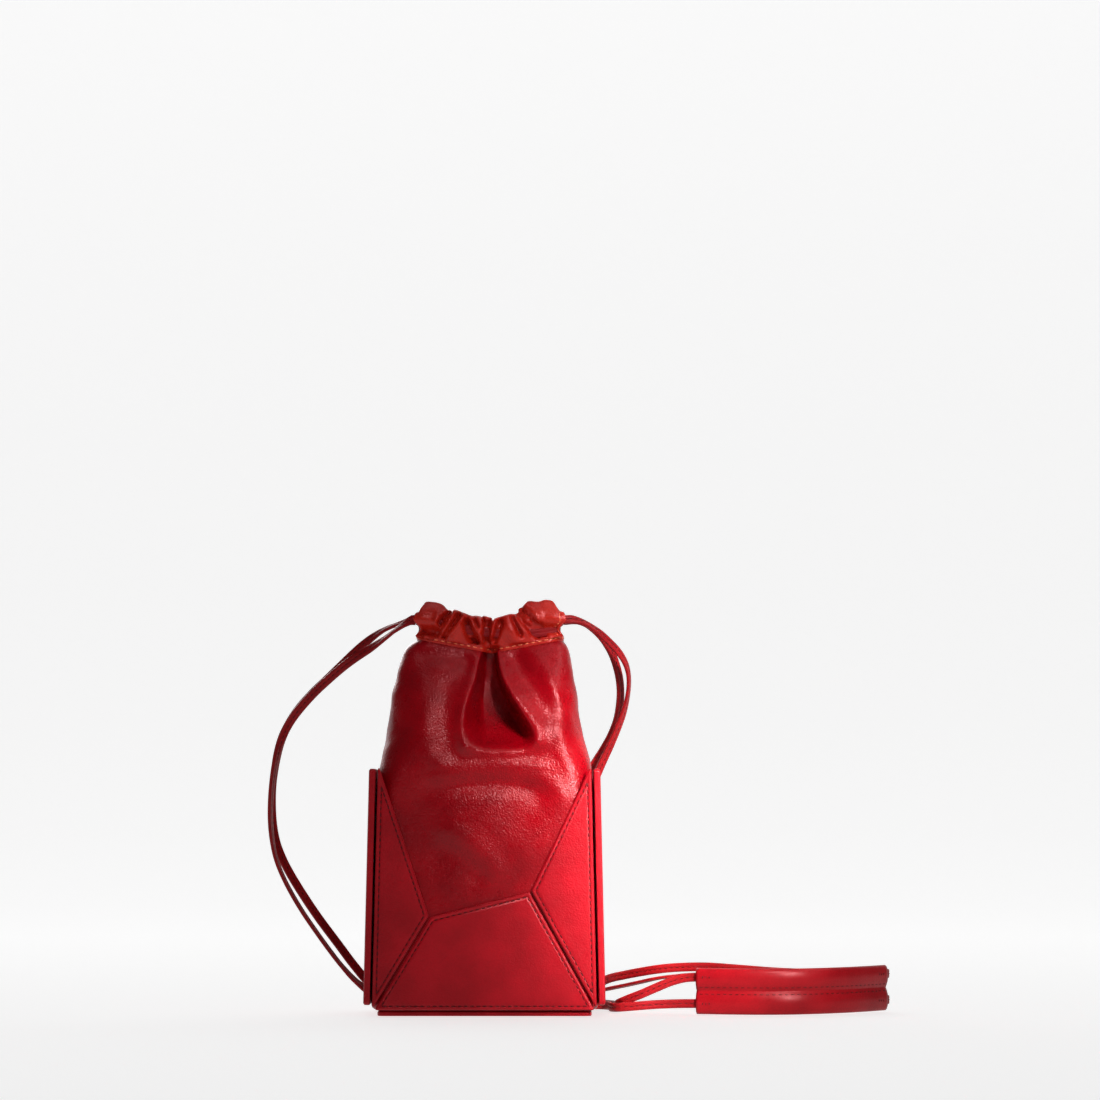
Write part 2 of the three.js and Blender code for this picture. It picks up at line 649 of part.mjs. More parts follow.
const backLeftRoute = [
  [-39.5, 9.2, 218.7, front],
  [-40.6, 9.2, 218.7, front],
  [-43, 9.3, 218.4, [-0.2, -0.85, 0.5]],
  [-46.6, 9.8, 217.5, [-0.4, -0.5, 0.8]],
  [-51.7, 11, 216, [-0.35, -0.25, 0.9]],
  [-57.4, 13, 213.7, [-0.4, -0.4, 0.8]],
  [-64.2, 16, 209.4, [-0.35, -0.75, 0.55]],
  [-72.2, 19.5, 202.9, [-0.1, -0.95, 0.2]],
  [-80.3, 22.5, 195.4, front],
  [-89.5, 26, 186.7, front],
  [-97.5, 29, 179.3, front],
  [-105, 31.5, 171.2, [0.15, -1, 0]],
  [-110.2, 33.5, 164, [0.3, -0.95, 0]],
  [-114.2, 35.2, 156.7, [0.5, -0.85, 0]],
  [-117, 36.8, 149, [0.65, -0.75, 0]],
  [-119.3, 38.6, 138.7, [0.75, -0.65, 0]],
  [-121, 40.4, 127.3, [0.75, -0.65, 0]],
  [-121.5, 42, 116, [0.7, -0.7, 0]],
  [-121, 43.6, 104.6, [0.6, -0.8, 0.1]],
  [-119.2, 45, 94.4, [0.5, -0.85, 0.15]],
  [-116, 46.4, 85.6, [0.4, -0.9, 0.2]],
  [-110.8, 48, 75.5, [0.4, -0.9, 0.2]],
  [-97.8, 51, 55, [0.4, -0.9, 0.2]],
  [-83.4, 53.6, 35.4, [0.4, -0.9, 0.2]],
  [-75.8, 54.8, 25.2, [0.4, -0.9, 0.2]],
  [-67, 55.6, 15, [0.3, -0.9, 0.2]],
  [-56, 56, 7, [0.1, -1, 0.1]],
  [-42, 56.2, 2.9, front],
  [0, 56.2, 2.7, front],
  [38, 56.2, 3.6, front],
  [55, 54, 7, [0, -0.8, 0.5]],
  [63, 50, 9.8, [-0.1, -0.4, 0.9]],
  [68.9, 44, 11.8, up],
  [77.8, 30, 14.2, up],
  [86.6, 18, 16.6, up],
  [95.4, 9.6, 18.9, up],
  [104.3, 5, 20.3, up],
  [114, 1.6, 20.6, [-0.1, -0.35, 0.9]],
  [126, -3.2, 18.6, [-0.1, -0.8, 0.6]],
  [144, -8.6, 12.8, front],
  [166, -10, 9, front],
  [186, -4.2, 7.8, [0.45, -0.9, 0]],
  [203, 7.3, 7.4, [0.65, -0.76, 0]],
  [212, 16.2, 7.2, [0.7, -0.7, 0]],
  [220, 27.4, 6.9, [0.74, -0.67, 0]],
  [222.3, 28.8, 6.8, [0.07, -1, 0]],
  [224.6, 28.5, 6.7, [-0.67, -0.74, 0]],
  [225.7, 26.8, 6.6, [-1, -0.05, 0]],
  [225.4, 24.4, 6.5, [-0.9, 0.4, 0]],
  [223.85, 22.4, 6.5, [-0.74, 0.67, 0]],
];
const frontRightRoute = [
  [43.7, -6.8, 218.7, front],
  [44.8, -6.8, 218.7, front],
  [47.4, -6.7, 218.9, [0.1, -0.9, 0.4]],
  [51, -5.6, 218.4, [0.3, -0.65, 0.7]],
  [55.5, -3.6, 216.8, [0.35, -0.5, 0.8]],
  [59.9, -0.8, 214.2, [0.4, -0.6, 0.7]],
  [64.5, 2.6, 210.8, [0.45, -0.75, 0.5]],
  [68.7, 6, 207, [0.5, -0.75, 0.4]],
  [72.8, 9.4, 203, [0.6, -0.7, 0.35]],
  [76.2, 12.6, 198.8, [0.75, -0.6, 0.3]],
  [78.8, 16, 193.8, [0.85, -0.45, 0.2]],
  [80.1, 19.5, 188.3, [0.95, -0.3, 0.1]],
  [80.2, 23, 181.9, [0.95, -0.3, 0]],
  [79.2, 27, 174.7, [0.9, -0.4, 0]],
  [77, 31, 166.3, [0.8, -0.6, -0.1]],
  [73.8, 35, 157.9, [0.7, -0.7, -0.1]],
  [69.9, 39.5, 148.9, [0.6, -0.8, -0.1]],
  [65.4, 44, 139.3, [0.5, -0.85, -0.1]],
  [61, 48.4, 129, [0.3, -0.95, 0]],
  [54.5, 53, 110, [0.2, -1, 0]],
  [45, 56.6, 79, front],
  [32, 59.2, 46, front],
  [17, 60.8, 19, front],
  [2, 62.4, 4.6, front],
  [-11, 66, 2.8, [-0.4, -0.9, 0]],
  [-18, 75, 2.7, left],
  [-12, 84.6, 2.7, [-0.5, 0.85, 0]],
  [2, 88.4, 2.7, back],
  [27, 86.6, 2.7, back],
  [49, 78.6, 2.7, [0.4, 0.9, 0]],
  [64, 64, 2.7, [0.75, 0.65, 0]],
  [71.8, 47.6, 2.7, [0.95, 0.25, 0]],
  [73.4, 31, 2.9, right],
  [73.4, 17, 4.4, [1, 0.1, 0]],
  [75.8, 9, 5.9, [0.8, 0.6, 0]],
  [80.2, 4.8, 7.9, [0.5, 0.85, 0]],
  [86.4, 2.2, 10.4, [0.3, 0.95, 0]],
  [95, 0.2, 14.2, [0.2, 1, 0]],
  [104, -1.6, 17.9, [0.2, 1, 0]],
  [111, -3.4, 19.7, [0.3, 0.95, 0]],
  [117, -5.5, 20.2, [0.36, 0.93, 0]],
];
const backRightRoute = [
  [43.7, 6.8, 218.7, front],
  [44.8, 6.8, 218.7, front],
  [47.4, 7, 218.9, [0.1, -0.9, 0.4]],
  [51.1, 8.2, 218.6, [0.3, -0.65, 0.7]],
  [55.6, 10.4, 216.8, [0.35, -0.5, 0.8]],
  [60.1, 13, 213.8, [0.4, -0.6, 0.7]],
  [64.6, 16, 209.9, [0.45, -0.75, 0.5]],
  [68, 19, 205.5, [0.5, -0.8, 0.35]],
  [70.9, 22, 200.5, [0.55, -0.8, 0.2]],
  [73.2, 25, 194.4, [0.6, -0.8, 0.1]],
  [74.9, 28, 187.7, [0.6, -0.8, 0]],
  [75.7, 31.2, 180.5, [0.6, -0.8, 0]],
  [75.4, 34.8, 172.6, [0.55, -0.85, -0.05]],
  [74, 39, 164.2, [0.5, -0.85, -0.1]],
  [71, 43.6, 155.8, [0.4, -0.9, -0.15]],
  [66.4, 48.4, 147.3, [0.3, -0.9, -0.2]],
  [60.6, 53, 138, [0.25, -0.95, -0.2]],
  [54, 57.2, 124, [0.15, -1, -0.1]],
  [47, 60.6, 105, front],
  [38, 64, 78, front],
  [27.5, 66.2, 48, front],
  [16, 67.4, 21, front],
  [5, 68.6, 6.4, [-0.1, -1, 0]],
  [-5, 71.4, 2.9, [-0.5, -0.85, 0]],
  [-9, 76, 2.7, left],
  [-5, 80.4, 2.7, [-0.5, 0.85, 0]],
  [7, 81.6, 2.8, back],
  [27, 79, 3.2, [0.15, 1, 0]],
  [45, 70.4, 6, [0.5, 0.85, 0]],
  [58, 58.6, 11.6, [0.65, 0.75, 0.1]],
  [68.9, 44.8, 17.4, [0.8, 0.6, 0.1]],
  [77.8, 32.4, 20, [0.8, 0.6, 0]],
  [86.6, 21.4, 22.1, [0.75, 0.65, 0]],
  [95.4, 13.4, 23.8, [0.6, 0.8, 0]],
  [104.3, 8.8, 24.9, [0.45, 0.9, 0]],
  [122.1, 2.4, 25.6, [0.4, 0.9, 0]],
  [141.9, -4.6, 24.5, [0.3, 0.95, 0]],
  [160.2, -8, 23.2, back],
  [180, -5.4, 22.3, [-0.3, 0.95, 0]],
  [196, 2.8, 21.9, [-0.55, 0.83, 0]],
  [211.4, 15.6, 21.7, [-0.7, 0.7, 0]],
  [220, 27.4, 21.5, [-0.74, 0.67, 0]],
  [222.3, 28.8, 21.4, [-0.07, 1, 0]],
  [224.6, 28.5, 21.3, [0.67, 0.74, 0]],
  [225.7, 26.8, 21.2, [1, 0.05, 0]],
  [225.4, 24.4, 21.1, [0.9, -0.4, 0]],
  [223.85, 22.4, 21.1, [0.74, -0.67, 0]],
];

// Inside the tunnels: in at one end of the front tunnel, round the far end and back through the rear one.
// The two straps change places in height on the way, so that each turns back below the other's exit.
function insideRoute(start, wallEnd, offset, sink) {
  const through = 10;
  const outward = Math.sign(wallEnd - start);
  const end = wallEnd - outward * 2.2;
  const turn = wallEnd + outward * (seat + 0.3 + strapThickness / 2); // beside the inner walls' ends
  const lane = (x) => tunnelHeight(x) + mix(laneOffset, -sink, smooth((x - start) / (end - start)));
  const straight = outward * 0.9; // the ends lie level where they meet the free straps
  const halfWay = [[start, lane(start + straight), offset]];
  for (let i = 0; i <= through; i += 1) {
    const x = mix(start + straight, end, i / through);
    halfWay.push([x, lane(x), offset]);
  }
  const rows = halfWay.map(([x, z, y]) => [x, -y, z, front]);
  const low = tunnelHeight(turn) - sink;
  const turnRows = [
    [turn - outward * 0.9, 0.3 - offset, [0.5 * outward, -0.85, 0]],
    [turn - outward * 0.2, 1.5 - offset, [0.93 * outward, -0.35, 0]],
    [turn, 3 - offset, [outward, 0, 0]],
  ];
  turnRows.forEach(([x, y, face]) => rows.push([x, y, low, face]));
  turnRows.reverse().forEach(([x, y, face]) => rows.push([x, -y, low, [face[0], -face[1], 0]]));
  halfWay.reverse().forEach(([x, z, y]) => rows.push([x, y, z, back]));
  return rows;
}

function addStraps() {
  const leftExit = frontLeftRoute[0];
  const rightExit = frontRightRoute[0];
  const leftInside = insideRoute(leftExit[0] + seat, tunnelRight - innerWallShort, tunnelDepth + laneSpread, 2.5);
  const rightInside = insideRoute(rightExit[0] - seat, tunnelLeft + innerWallShort, tunnelDepth - laneSpread, 2);
  addPiece(bag, "drawstring_left_inside", strapGeometry(leftInside), strapRed);
  addPiece(bag, "drawstring_right_inside", strapGeometry(rightInside), strapRed);
  addPiece(bag, "strap_left_front", strapGeometry(frontLeftRoute), strapRed);
  addPiece(bag, "strap_left_back", strapGeometry(backLeftRoute), strapRed);
  addPiece(bag, "strap_right_front", strapGeometry(frontRightRoute), strapRed);
  addPiece(bag, "strap_right_back", strapGeometry(backRightRoute), strapRed);
}

// The shoulder pad: one leather piece folded and stitched into two tunnels, standing on its long edge

// Points along the pad's lower edge; its far end is lifted a little by the straps that turn back there.
const padLine = [
  [117.5, -5.7, 0], [132, -11.5, 0], [150, -16, 0], [168, -16.5, 0.1],
  [186, -10.5, 0.3], [202, 0, 0.5], [214, 11.5, 0.7], [223.5, 22, 0.9],
];

function padRows(height) {
  return padLine.map((point, i) => {
    const before = padLine[Math.max(i - 1, 0)];
    const after = padLine[Math.min(i + 1, padLine.length - 1)];
    const along = new THREE.Vector2(after[0] - before[0], after[1] - before[1]).normalize();
    return [point[0], point[1], height + point[2], [-along.y, along.x, 0]];
  });
}

function addPad() {
  const half = padThickness / 2;
  const waist = 0.9;
  const fold = 0.8;
  const side = [
    [fold, 0],
    [half - 0.6, 1.9],
    [half, padLowerLane],
    [half - 0.3, 8.8],
    [waist + 0.5, padGroove - 1.2],
    [waist, padGroove],
    [waist + 0.5, padGroove + 1.2],
    [half - 0.3, 16.6],
    [half, padUpperLane],
    [half - 0.6, padHeight - 1.7],
    [fold, padHeight],
  ];
  const mirrored = side.map(([out, up]) => [-out, up]).reverse();
  const shape = new THREE.Shape([...side, ...mirrored].map((point) => new THREE.Vector2(...point)));
  const [hollowThick, hollowTall] = padHollow;
  for (const middle of [padLowerLane, padUpperLane]) {
    const hollow = new THREE.Path();
    hollow.moveTo(-hollowThick / 2, middle - hollowTall / 2);
    hollow.lineTo(-hollowThick / 2, middle + hollowTall / 2);
    hollow.lineTo(hollowThick / 2, middle + hollowTall / 2);
    hollow.lineTo(hollowThick / 2, middle - hollowTall / 2);
    hollow.closePath();
    shape.holes.push(hollow);
  }
  const path = new StrapPath(padRows(0));
  const geometry = new THREE.ExtrudeGeometry(shape, { steps: padLine.length - 1, extrudePath: path });
  addPiece(bag, "shoulder_pad", geometry, leatherLit);
  addPiece(bag, "strap_in_pad_lower", strapGeometry(padRows(padLowerLane)), strapRed);
  addPiece(bag, "strap_in_pad_upper", strapGeometry(padRows(padUpperLane)), strapRed);
}

addBaseBoard();
addWindowWall("front", 0);
addWindowWall("back", Math.PI);
addSideBoard("side_board_left", -Math.PI / 2);
addSideBoard("side_board_right", Math.PI / 2);
addPouch();
addTunnel("tunnel_front", -1);
addTunnel("tunnel_back", 1);
addStraps();
addPad();

export default bag;
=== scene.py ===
# %% [markdown]
# # A leather drawstring pouch in a cage of stiff boards
# The object is a small shoulder bag. A soft pouch of nappa leather stands inside flat boards that are
# wrapped in firmer leather, and two flat straps run through a gathered casing at its neck. Each strap
# leaves the casing as two ends, and all four ends meet in a stitched shoulder pad that lies on the floor.
# The solid model is loaded first, and every piece here is laid over one of its solids, in metres.

# %% The solid model and its box
import math

import bmesh
import bpy
from mathutils import Matrix, Vector, noise


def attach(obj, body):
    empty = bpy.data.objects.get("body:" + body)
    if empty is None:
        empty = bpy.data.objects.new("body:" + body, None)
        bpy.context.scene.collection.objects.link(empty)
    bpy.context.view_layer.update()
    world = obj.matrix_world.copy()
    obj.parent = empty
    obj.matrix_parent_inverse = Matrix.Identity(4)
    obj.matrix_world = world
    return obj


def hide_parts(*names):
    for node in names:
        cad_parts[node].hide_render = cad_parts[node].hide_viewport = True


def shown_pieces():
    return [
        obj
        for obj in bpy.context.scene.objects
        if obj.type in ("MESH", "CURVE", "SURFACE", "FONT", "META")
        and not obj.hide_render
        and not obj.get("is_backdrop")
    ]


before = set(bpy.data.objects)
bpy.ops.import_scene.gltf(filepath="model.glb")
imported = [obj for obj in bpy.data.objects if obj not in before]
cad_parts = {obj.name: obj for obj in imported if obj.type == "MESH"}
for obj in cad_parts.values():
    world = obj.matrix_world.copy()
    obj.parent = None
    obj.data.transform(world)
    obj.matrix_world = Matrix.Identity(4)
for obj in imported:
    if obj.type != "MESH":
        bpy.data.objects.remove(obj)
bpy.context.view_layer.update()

# %% [markdown]
# ## Camera
# The photograph was taken from far off with a long lens, almost level with the lower half of the bag, so
# the boards' upright edges stay nearly parallel. A 149 mm lens from two and a half metres gives that.

# %% Camera
LENS_MM = 149
SENSOR_MM = 36
CAMERA_PLACE = (0.036, -2.541, 0.110)
CAMERA_TARGET = (0.0359, -0.041, 0.2555)


def aim(looker, place, target):
    """Puts a camera or a lamp at a place, turned to a target."""
    looker.location = place
    looker.rotation_euler = (Vector(target) - looker.location).to_track_quat("-Z", "Y").to_euler()
    bpy.context.scene.collection.objects.link(looker)


camera_data = bpy.data.cameras.new("camera")
camera_data.lens = LENS_MM
camera_data.sensor_width = SENSOR_MM
camera = bpy.data.objects.new("camera", camera_data)
aim(camera, CAMERA_PLACE, CAMERA_TARGET)
bpy.context.scene.camera = camera
print("camera:", LENS_MM, "mm, at", CAMERA_PLACE)

# %% [markdown]
# ## A leather worker's small tools
# Each piece is modelled in millimetres, because that is how leather goods are cut, and is brought to
# metres when it is finished. Most of the bag is sheet that has been rolled or folded, so one helper takes
# a flat grid, rolls it up and closes its seam, and another gives a skin its thickness. A third sews
# stitches, each a small pill of thread.

# %% Numbers that are read off between two others
MM = 0.001


def mix(a, b, t):
    return a + (b - a) * t


def clamp(value, low=0.0, high=1.0):
    return min(max(value, low), high)


def smooth(t):
    t = clamp(t)
    return t * t * (3 - 2 * t)


def bell(distance, width):
    return math.exp(-0.5 * (distance / width) ** 2)


print("a soft step, a quarter of the way:", smooth(0.25))

# %% Rolling a sheet, and finishing a piece


def rolled_tube(bm, columns, rows, place):
    """Rolls a flat grid into a tube; place(column, row) says where each of its corners goes."""
    grid = bmesh.ops.create_grid(bm, x_segments=columns, y_segments=rows, size=1)["verts"]
    for vert in grid:
        column = round((vert.co.x + 1) / 2 * columns) % columns
        row = round((vert.co.y + 1) / 2 * rows)
        vert.co = place(column, row)
    bmesh.ops.remove_doubles(bm, verts=grid, dist=1e-4)


def finish_piece(name, bm, material, stands_for, crease=40):
    """Brings a piece to metres, makes it an object and lets it ride with the bag."""
    bmesh.ops.recalc_face_normals(bm, faces=bm.faces)
    bmesh.ops.scale(bm, vec=(MM, MM, MM), verts=bm.verts)
    mesh = bpy.data.meshes.new(name)
    bm.to_mesh(mesh)
    bm.free()
    mesh.polygons.foreach_set("use_smooth", [True] * len(mesh.polygons))
    mesh.set_sharp_from_angle(angle=math.radians(crease))
    piece = bpy.data.objects.new(name, mesh)
    bpy.context.scene.collection.objects.link(piece)
    mesh.materials.append(material)
    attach(piece, "root")
    if stands_for:
        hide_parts(stands_for)
    print(name, len(mesh.polygons), "faces")
    return piece


def thicken(piece, millimetres):
    """Gives a skin of leather its thickness, inwards."""
    wall = piece.modifiers.new("leather thickness", "SOLIDIFY")
    wall.thickness = millimetres * MM
    wall.offset = -1


# %% Stitches
STITCH_SIDES = 6
STITCH_RINGS = 5
STITCHES_AT_ONCE = 40


def stitch(place, along, out, length=2.3, width=0.62, height=0.42):
    """The matrix of one stitch: a small pill of thread that lies along the seam."""
    along = along.normalized()
    side = along.cross(out).normalized()
    out = side.cross(along)
    pill = Matrix((side * width / 2, out * height / 2, along * length / 2)).transposed().to_4x4()
    pill.translation = place
    return pill


def sew(name, pills, material):
    """Makes the stitches, a few dozen at a time, because each call looks through the whole bmesh."""
    seam = bmesh.new()
    length_of_thread = bpy.data.meshes.new("length of thread")
    for start in range(0, len(pills), STITCHES_AT_ONCE):
        few = bmesh.new()
        for pill in pills[start : start + STITCHES_AT_ONCE]:
            bmesh.ops.create_uvsphere(
                few, u_segments=STITCH_SIDES, v_segments=STITCH_RINGS, radius=1, matrix=pill
            )
        few.to_mesh(length_of_thread)
        few.free()
        seam.from_mesh(length_of_thread)
    bpy.data.meshes.remove(length_of_thread)
    print(name, len(pills), "stitches")
    return finish_piece(name, seam, material, None, crease=80)


def along_route(points, pitch, first, last):
    """Every pitch from first to last: the step it falls in, and how far along that step it is."""
    walked = 0.0
    due = first
    for i, (point, after) in enumerate(zip(points, points[1:])):
        step = (after - point).length
        while due < min(walked + step, last):
            yield i, (due - walked) / step
            due += pitch
        walked += step


# %% [markdown]
# ## Leather and thread
# Nappa is soft, chrome-tanned lambskin or calfskin with a thin pigment finish. What the eye gets is a
# deep red with a satin highlight, broken up by a fine pebble grain about a millimetre across, whose pits
# are darkened as painted shade. On the boards it is stretched flat, so the grain is finer and shallower.
# The casing is the same nappa, given a lighter, warmer red as painted light, because it faces up into
# the lamps. The straps and the pad are a little browner. Thread is waxed polyester, darker than the
# leather; round the neck it is light orange, a painted highlight of the lit hem. Colour in the finish
# tints what it reflects, so each leather has a pink specular tint, and a skin's colour and gloss vary a
# little, which keeps it from looking moulded.

# %% Helpers for materials


def linear(hex_colour):
    """An sRGB hex colour as linear values."""
    parts = [int(hex_colour[i : i + 2], 16) / 255 for i in (1, 3, 5)]
    return [c / 12.92 if c <= 0.04045 else ((c + 0.055) / 1.055) ** 2.4 for c in parts] + [1.0]


def add_node(tree, kind, inputs=None, **settings):
    """Adds a node with its settings, values and links."""
    made = tree.nodes.new(kind)
    for name, value in settings.items():
        setattr(made, name, value)
    for name, value in (inputs or {}).items():
        if isinstance(value, bpy.types.NodeSocket):
            tree.links.new(value, made.inputs[name])
        else:
            made.inputs[name].default_value = value
    return made


def per_metre(size_mm):
    """The scale that makes a pattern's features this many millimetres apart."""
    return 1000 / size_mm


def start_material(name, reflects):
    """A new material with its node tree and its shader, which reflects this much."""
    made = bpy.data.materials.new(name)
    made.use_nodes = True
    shader = made.node_tree.nodes["Principled BSDF"]
    shader.inputs["Specular IOR Level"].default_value = reflects
    return made, made.node_tree, shader


# %% Leather
CLOUD_MM = 22  # spacing of the soft clouds in the dye
CREASE_SHARE = 3.5  # the fine creases lie this many grains apart


def leather(name, deep, lit, grain_mm, grain_depth_mm, roughness, reflects):
    """Finished leather: two close reds in soft clouds, a pebble grain as bump, and painted shade in the
    grain's pits.
    """
    made, tree, shader = start_material(name, reflects)
    place = add_node(tree, "ShaderNodeTexCoord").outputs["Object"]
    clouds = add_node(
        tree,
        "ShaderNodeTexNoise",
        {"Vector": place, "Scale": per_metre(CLOUD_MM), "Detail": 3.0, "Roughness": 0.55},
    )
    pebbles = add_node(
        tree,
        "ShaderNodeTexVoronoi",
        {"Vector": place, "Scale": per_metre(grain_mm), "Smoothness": 0.6, "Randomness": 0.9},
        feature="SMOOTH_F1",
    )
    creases = add_node(
        tree,
        "ShaderNodeTexNoise",
        {"Vector": place, "Scale": per_metre(grain_mm * CREASE_SHARE), "Detail": 4.0, "Roughness": 0.6},
    )
    colour = add_node(tree, "ShaderNodeValToRGB", {"Fac": clouds.outputs["Fac"]})
    for element, at, red in zip(colour.color_ramp.elements, (0.35, 0.65), (deep, lit)):
        element.position = at
        element.color = linear(red)
    apart = pebbles.outputs["Distance"]
    # Painted shade: the colour is darkened in the grain's pits, where shade falls.
    pit_shade_painted = add_node(
        tree,
        "ShaderNodeMapRange",
        {"Value": apart, "From Min": 0.2, "From Max": 0.8, "To Min": 1.0, "To Max": 0.86},
    )
    shaded = add_node(
        tree,
        "ShaderNodeHueSaturation",
        {"Color": colour.outputs["Color"], "Value": pit_shade_painted.outputs["Result"]},
    )
    gloss = add_node(
        tree,
        "ShaderNodeMapRange",
        {
            "Value": creases.outputs["Fac"],
            "From Min": 0.3,
            "From Max": 0.7,
            "To Min": roughness - 0.05,
            "To Max": roughness + 0.07,
        },
    )
    grain = add_node(
        tree,
        "ShaderNodeBump",
        {"Height": apart, "Distance": grain_depth_mm * MM, "Strength": 1.0},
        invert=True,
    )
    rumpled = add_node(
        tree,
        "ShaderNodeBump",
        {
            "Height": creases.outputs["Fac"],
            "Distance": grain_depth_mm * 2.2 * MM,
            "Strength": 0.7,
            "Normal": grain.outputs["Normal"],
        },
    )
    tree.links.new(shaded.outputs["Color"], shader.inputs["Base Color"])
    tree.links.new(gloss.outputs["Result"], shader.inputs["Roughness"])
    tree.links.new(rumpled.outputs["Normal"], shader.inputs["Normal"])
    shader.inputs["IOR"].default_value = 1.5
    shader.inputs["Specular Tint"].default_value = linear("#ffb0b2")
    print(name, grain_mm, "mm grain")
    return made


# %% Thread
TWIST_SCALE = per_metre(0.5) / 6.3  # bands 1.1 mm apart, coarser than a real twist, so that they show


def waxed_thread(name, dark, light):
    """Thread with a fine twist: two close tones in thin slanting bands."""
    made, tree, shader = start_material(name, 0.15)
    place = add_node(tree, "ShaderNodeTexCoord").outputs["Object"]
    twist = add_node(
        tree,
        "ShaderNodeTexWave",
        {"Vector": place, "Scale": TWIST_SCALE, "Distortion": 1.0, "Detail": 1.0},
        bands_direction="DIAGONAL",
    )
    ramp = add_node(tree, "ShaderNodeValToRGB", {"Fac": twist.outputs["Fac"]})
    ramp.color_ramp.elements[0].color = linear(dark)
    ramp.color_ramp.elements[1].color = linear(light)
    bump = add_node(tree, "ShaderNodeBump", {"Height": twist.outputs["Fac"], "Distance": 0.04 * MM})
    tree.links.new(ramp.outputs["Color"], shader.inputs["Base Color"])
    tree.links.new(bump.outputs["Normal"], shader.inputs["Normal"])
    shader.inputs["Roughness"].default_value = 0.55
    return made


# %% The finishes of this bag: two reds, grain across and deep in millimetres, roughness, reflection
nappa = leather("nappa_leather", "#7c000a", "#92000d", 1.0, 0.17, 0.3, 0.36)
# Painted light: the casing is the pouch's own nappa in a lighter, warmer red, a lit copy, because it faces
# up into the lamps.
casing_leather_painted_lit = leather("casing_nappa_leather", "#a0140c", "#b42113", 0.9, 0.10, 0.28, 0.5)
board_leather = leather("board_leather", "#8f0713", "#a20a18", 0.9, 0.10, 0.34, 0.36)
strap_leather = leather("strap_leather", "#780c11", "#8a1216", 0.8, 0.03, 0.45, 0.25)
pad_leather = leather("pad_leather", "#840811", "#960d16", 0.9, 0.05, 0.34, 0.34)
thread = waxed_thread("waxed_thread", "#3c060a", "#5c0a10")
# Painted highlight: the neck's thread is made light orange to stand for the lit ridge of the hem.
neck_thread_painted_highlight = waxed_thread("neck_waxed_thread_painted_highlight", "#dd6248", "#f0906c")
print("materials:", len(bpy.data.materials))

# %% [markdown]
# ## The four strap ends
# A strap here is one narrow strip of leather, folded to 5 mm wide and 1.8 mm thick, with one row of
# stitches down its middle. It is limp across its face and stiff across its edge, so it twists rather
# than bends sideways. A curve object could carry such a section, but its twist is hard to steer. So each
# route is a list of points with the way the face looks at each, and a rolled grid is laid along it.

# %% Routes of the strap ends, each from its casing to the shoulder pad
FRONT = (0, -1, 0)
BACK = (0, 1, 0)
UP = (0, 0, 1)
LEFT = (-1, 0, 0)
RIGHT = (1, 0, 0)
RIGHT_UP = (0.85, -0.2, 0.5)
LEFT_FRONT_ROUTE = [
    (-0.0395, -0.0092, 0.2187, FRONT),
    (-0.0405, -0.0092, 0.2187, FRONT),
    (-0.0428, -0.0089, 0.2175, (-0.2, -0.85, 0.5)),
    (-0.046, -0.0082, 0.2155, (-0.45, -0.5, 0.75)),
    (-0.0511, -0.007, 0.2121, (-0.55, -0.25, 0.8)),
    (-0.0567, -0.005, 0.2079, (-0.5, -0.4, 0.75)),
    (-0.0635, -0.002, 0.2033, (-0.35, -0.75, 0.55)),
    (-0.0715, 0.0015, 0.1985, (-0.1, -0.95, 0.2)),
    (-0.0794, 0.0045, 0.193, FRONT),
    (-0.0886, 0.0085, 0.1854, FRONT),
    (-0.0966, 0.012, 0.1781, FRONT),
    (-0.104, 0.0155, 0.1702, (0.15, -1, 0)),
    (-0.1096, 0.0185, 0.163, (0.3, -0.95, 0)),
    (-0.1138, 0.021, 0.1557, (0.5, -0.85, 0)),
    (-0.1168, 0.0235, 0.148, (0.7, -0.7, 0)),
    (-0.1192, 0.0265, 0.138, (0.85, -0.5, 0)),
    (-0.1209, 0.0295, 0.127, (0.9, -0.4, 0)),
    (-0.1218, 0.032, 0.116, (0.93, -0.35, 0)),
    (-0.1219, 0.034, 0.1058, (0.93, -0.3, 0.1)),
    (-0.121, 0.036, 0.0955, (0.93, -0.25, 0.2)),
    (-0.1188, 0.038, 0.0848, (0.9, -0.2, 0.35)),
    (-0.115, 0.04, 0.075, RIGHT_UP),
    (-0.1098, 0.042, 0.0648, RIGHT_UP),
    (-0.1037, 0.0438, 0.0546, RIGHT_UP),
    (-0.0967, 0.0453, 0.0443, RIGHT_UP),
    (-0.0893, 0.0465, 0.034, RIGHT_UP),
    (-0.082, 0.0475, 0.0246, RIGHT_UP),
    (-0.0735, 0.0482, 0.0156, (0.6, -0.4, 0.6)),
    (-0.062, 0.0486, 0.0076, (0.2, -0.9, 0.3)),
    (-0.048, 0.0486, 0.0031, FRONT),
    (-0.01, 0.0486, 0.0027, FRONT),
    (0.03, 0.0486, 0.0027, FRONT),
    (0.056, 0.0482, 0.0027, FRONT),
    (0.0652, 0.045, 0.0027, (-0.6, -0.8, 0)),
    (0.069, 0.037, 0.0027, LEFT),
    (0.0696, 0.024, 0.0027, LEFT),
    (0.0704, 0.012, 0.0028, (-1, -0.25, 0)),
    (0.074, 0.004, 0.0031, (-0.6, -0.8, 0)),
    (0.083, 0.0004, 0.0039, FRONT),
    (0.095, -0.0008, 0.0049, FRONT),
    (0.107, -0.0024, 0.0054, (-0.25, -0.97, 0)),
    (0.117, -0.0055, 0.0056, (-0.36, -0.93, 0)),
]
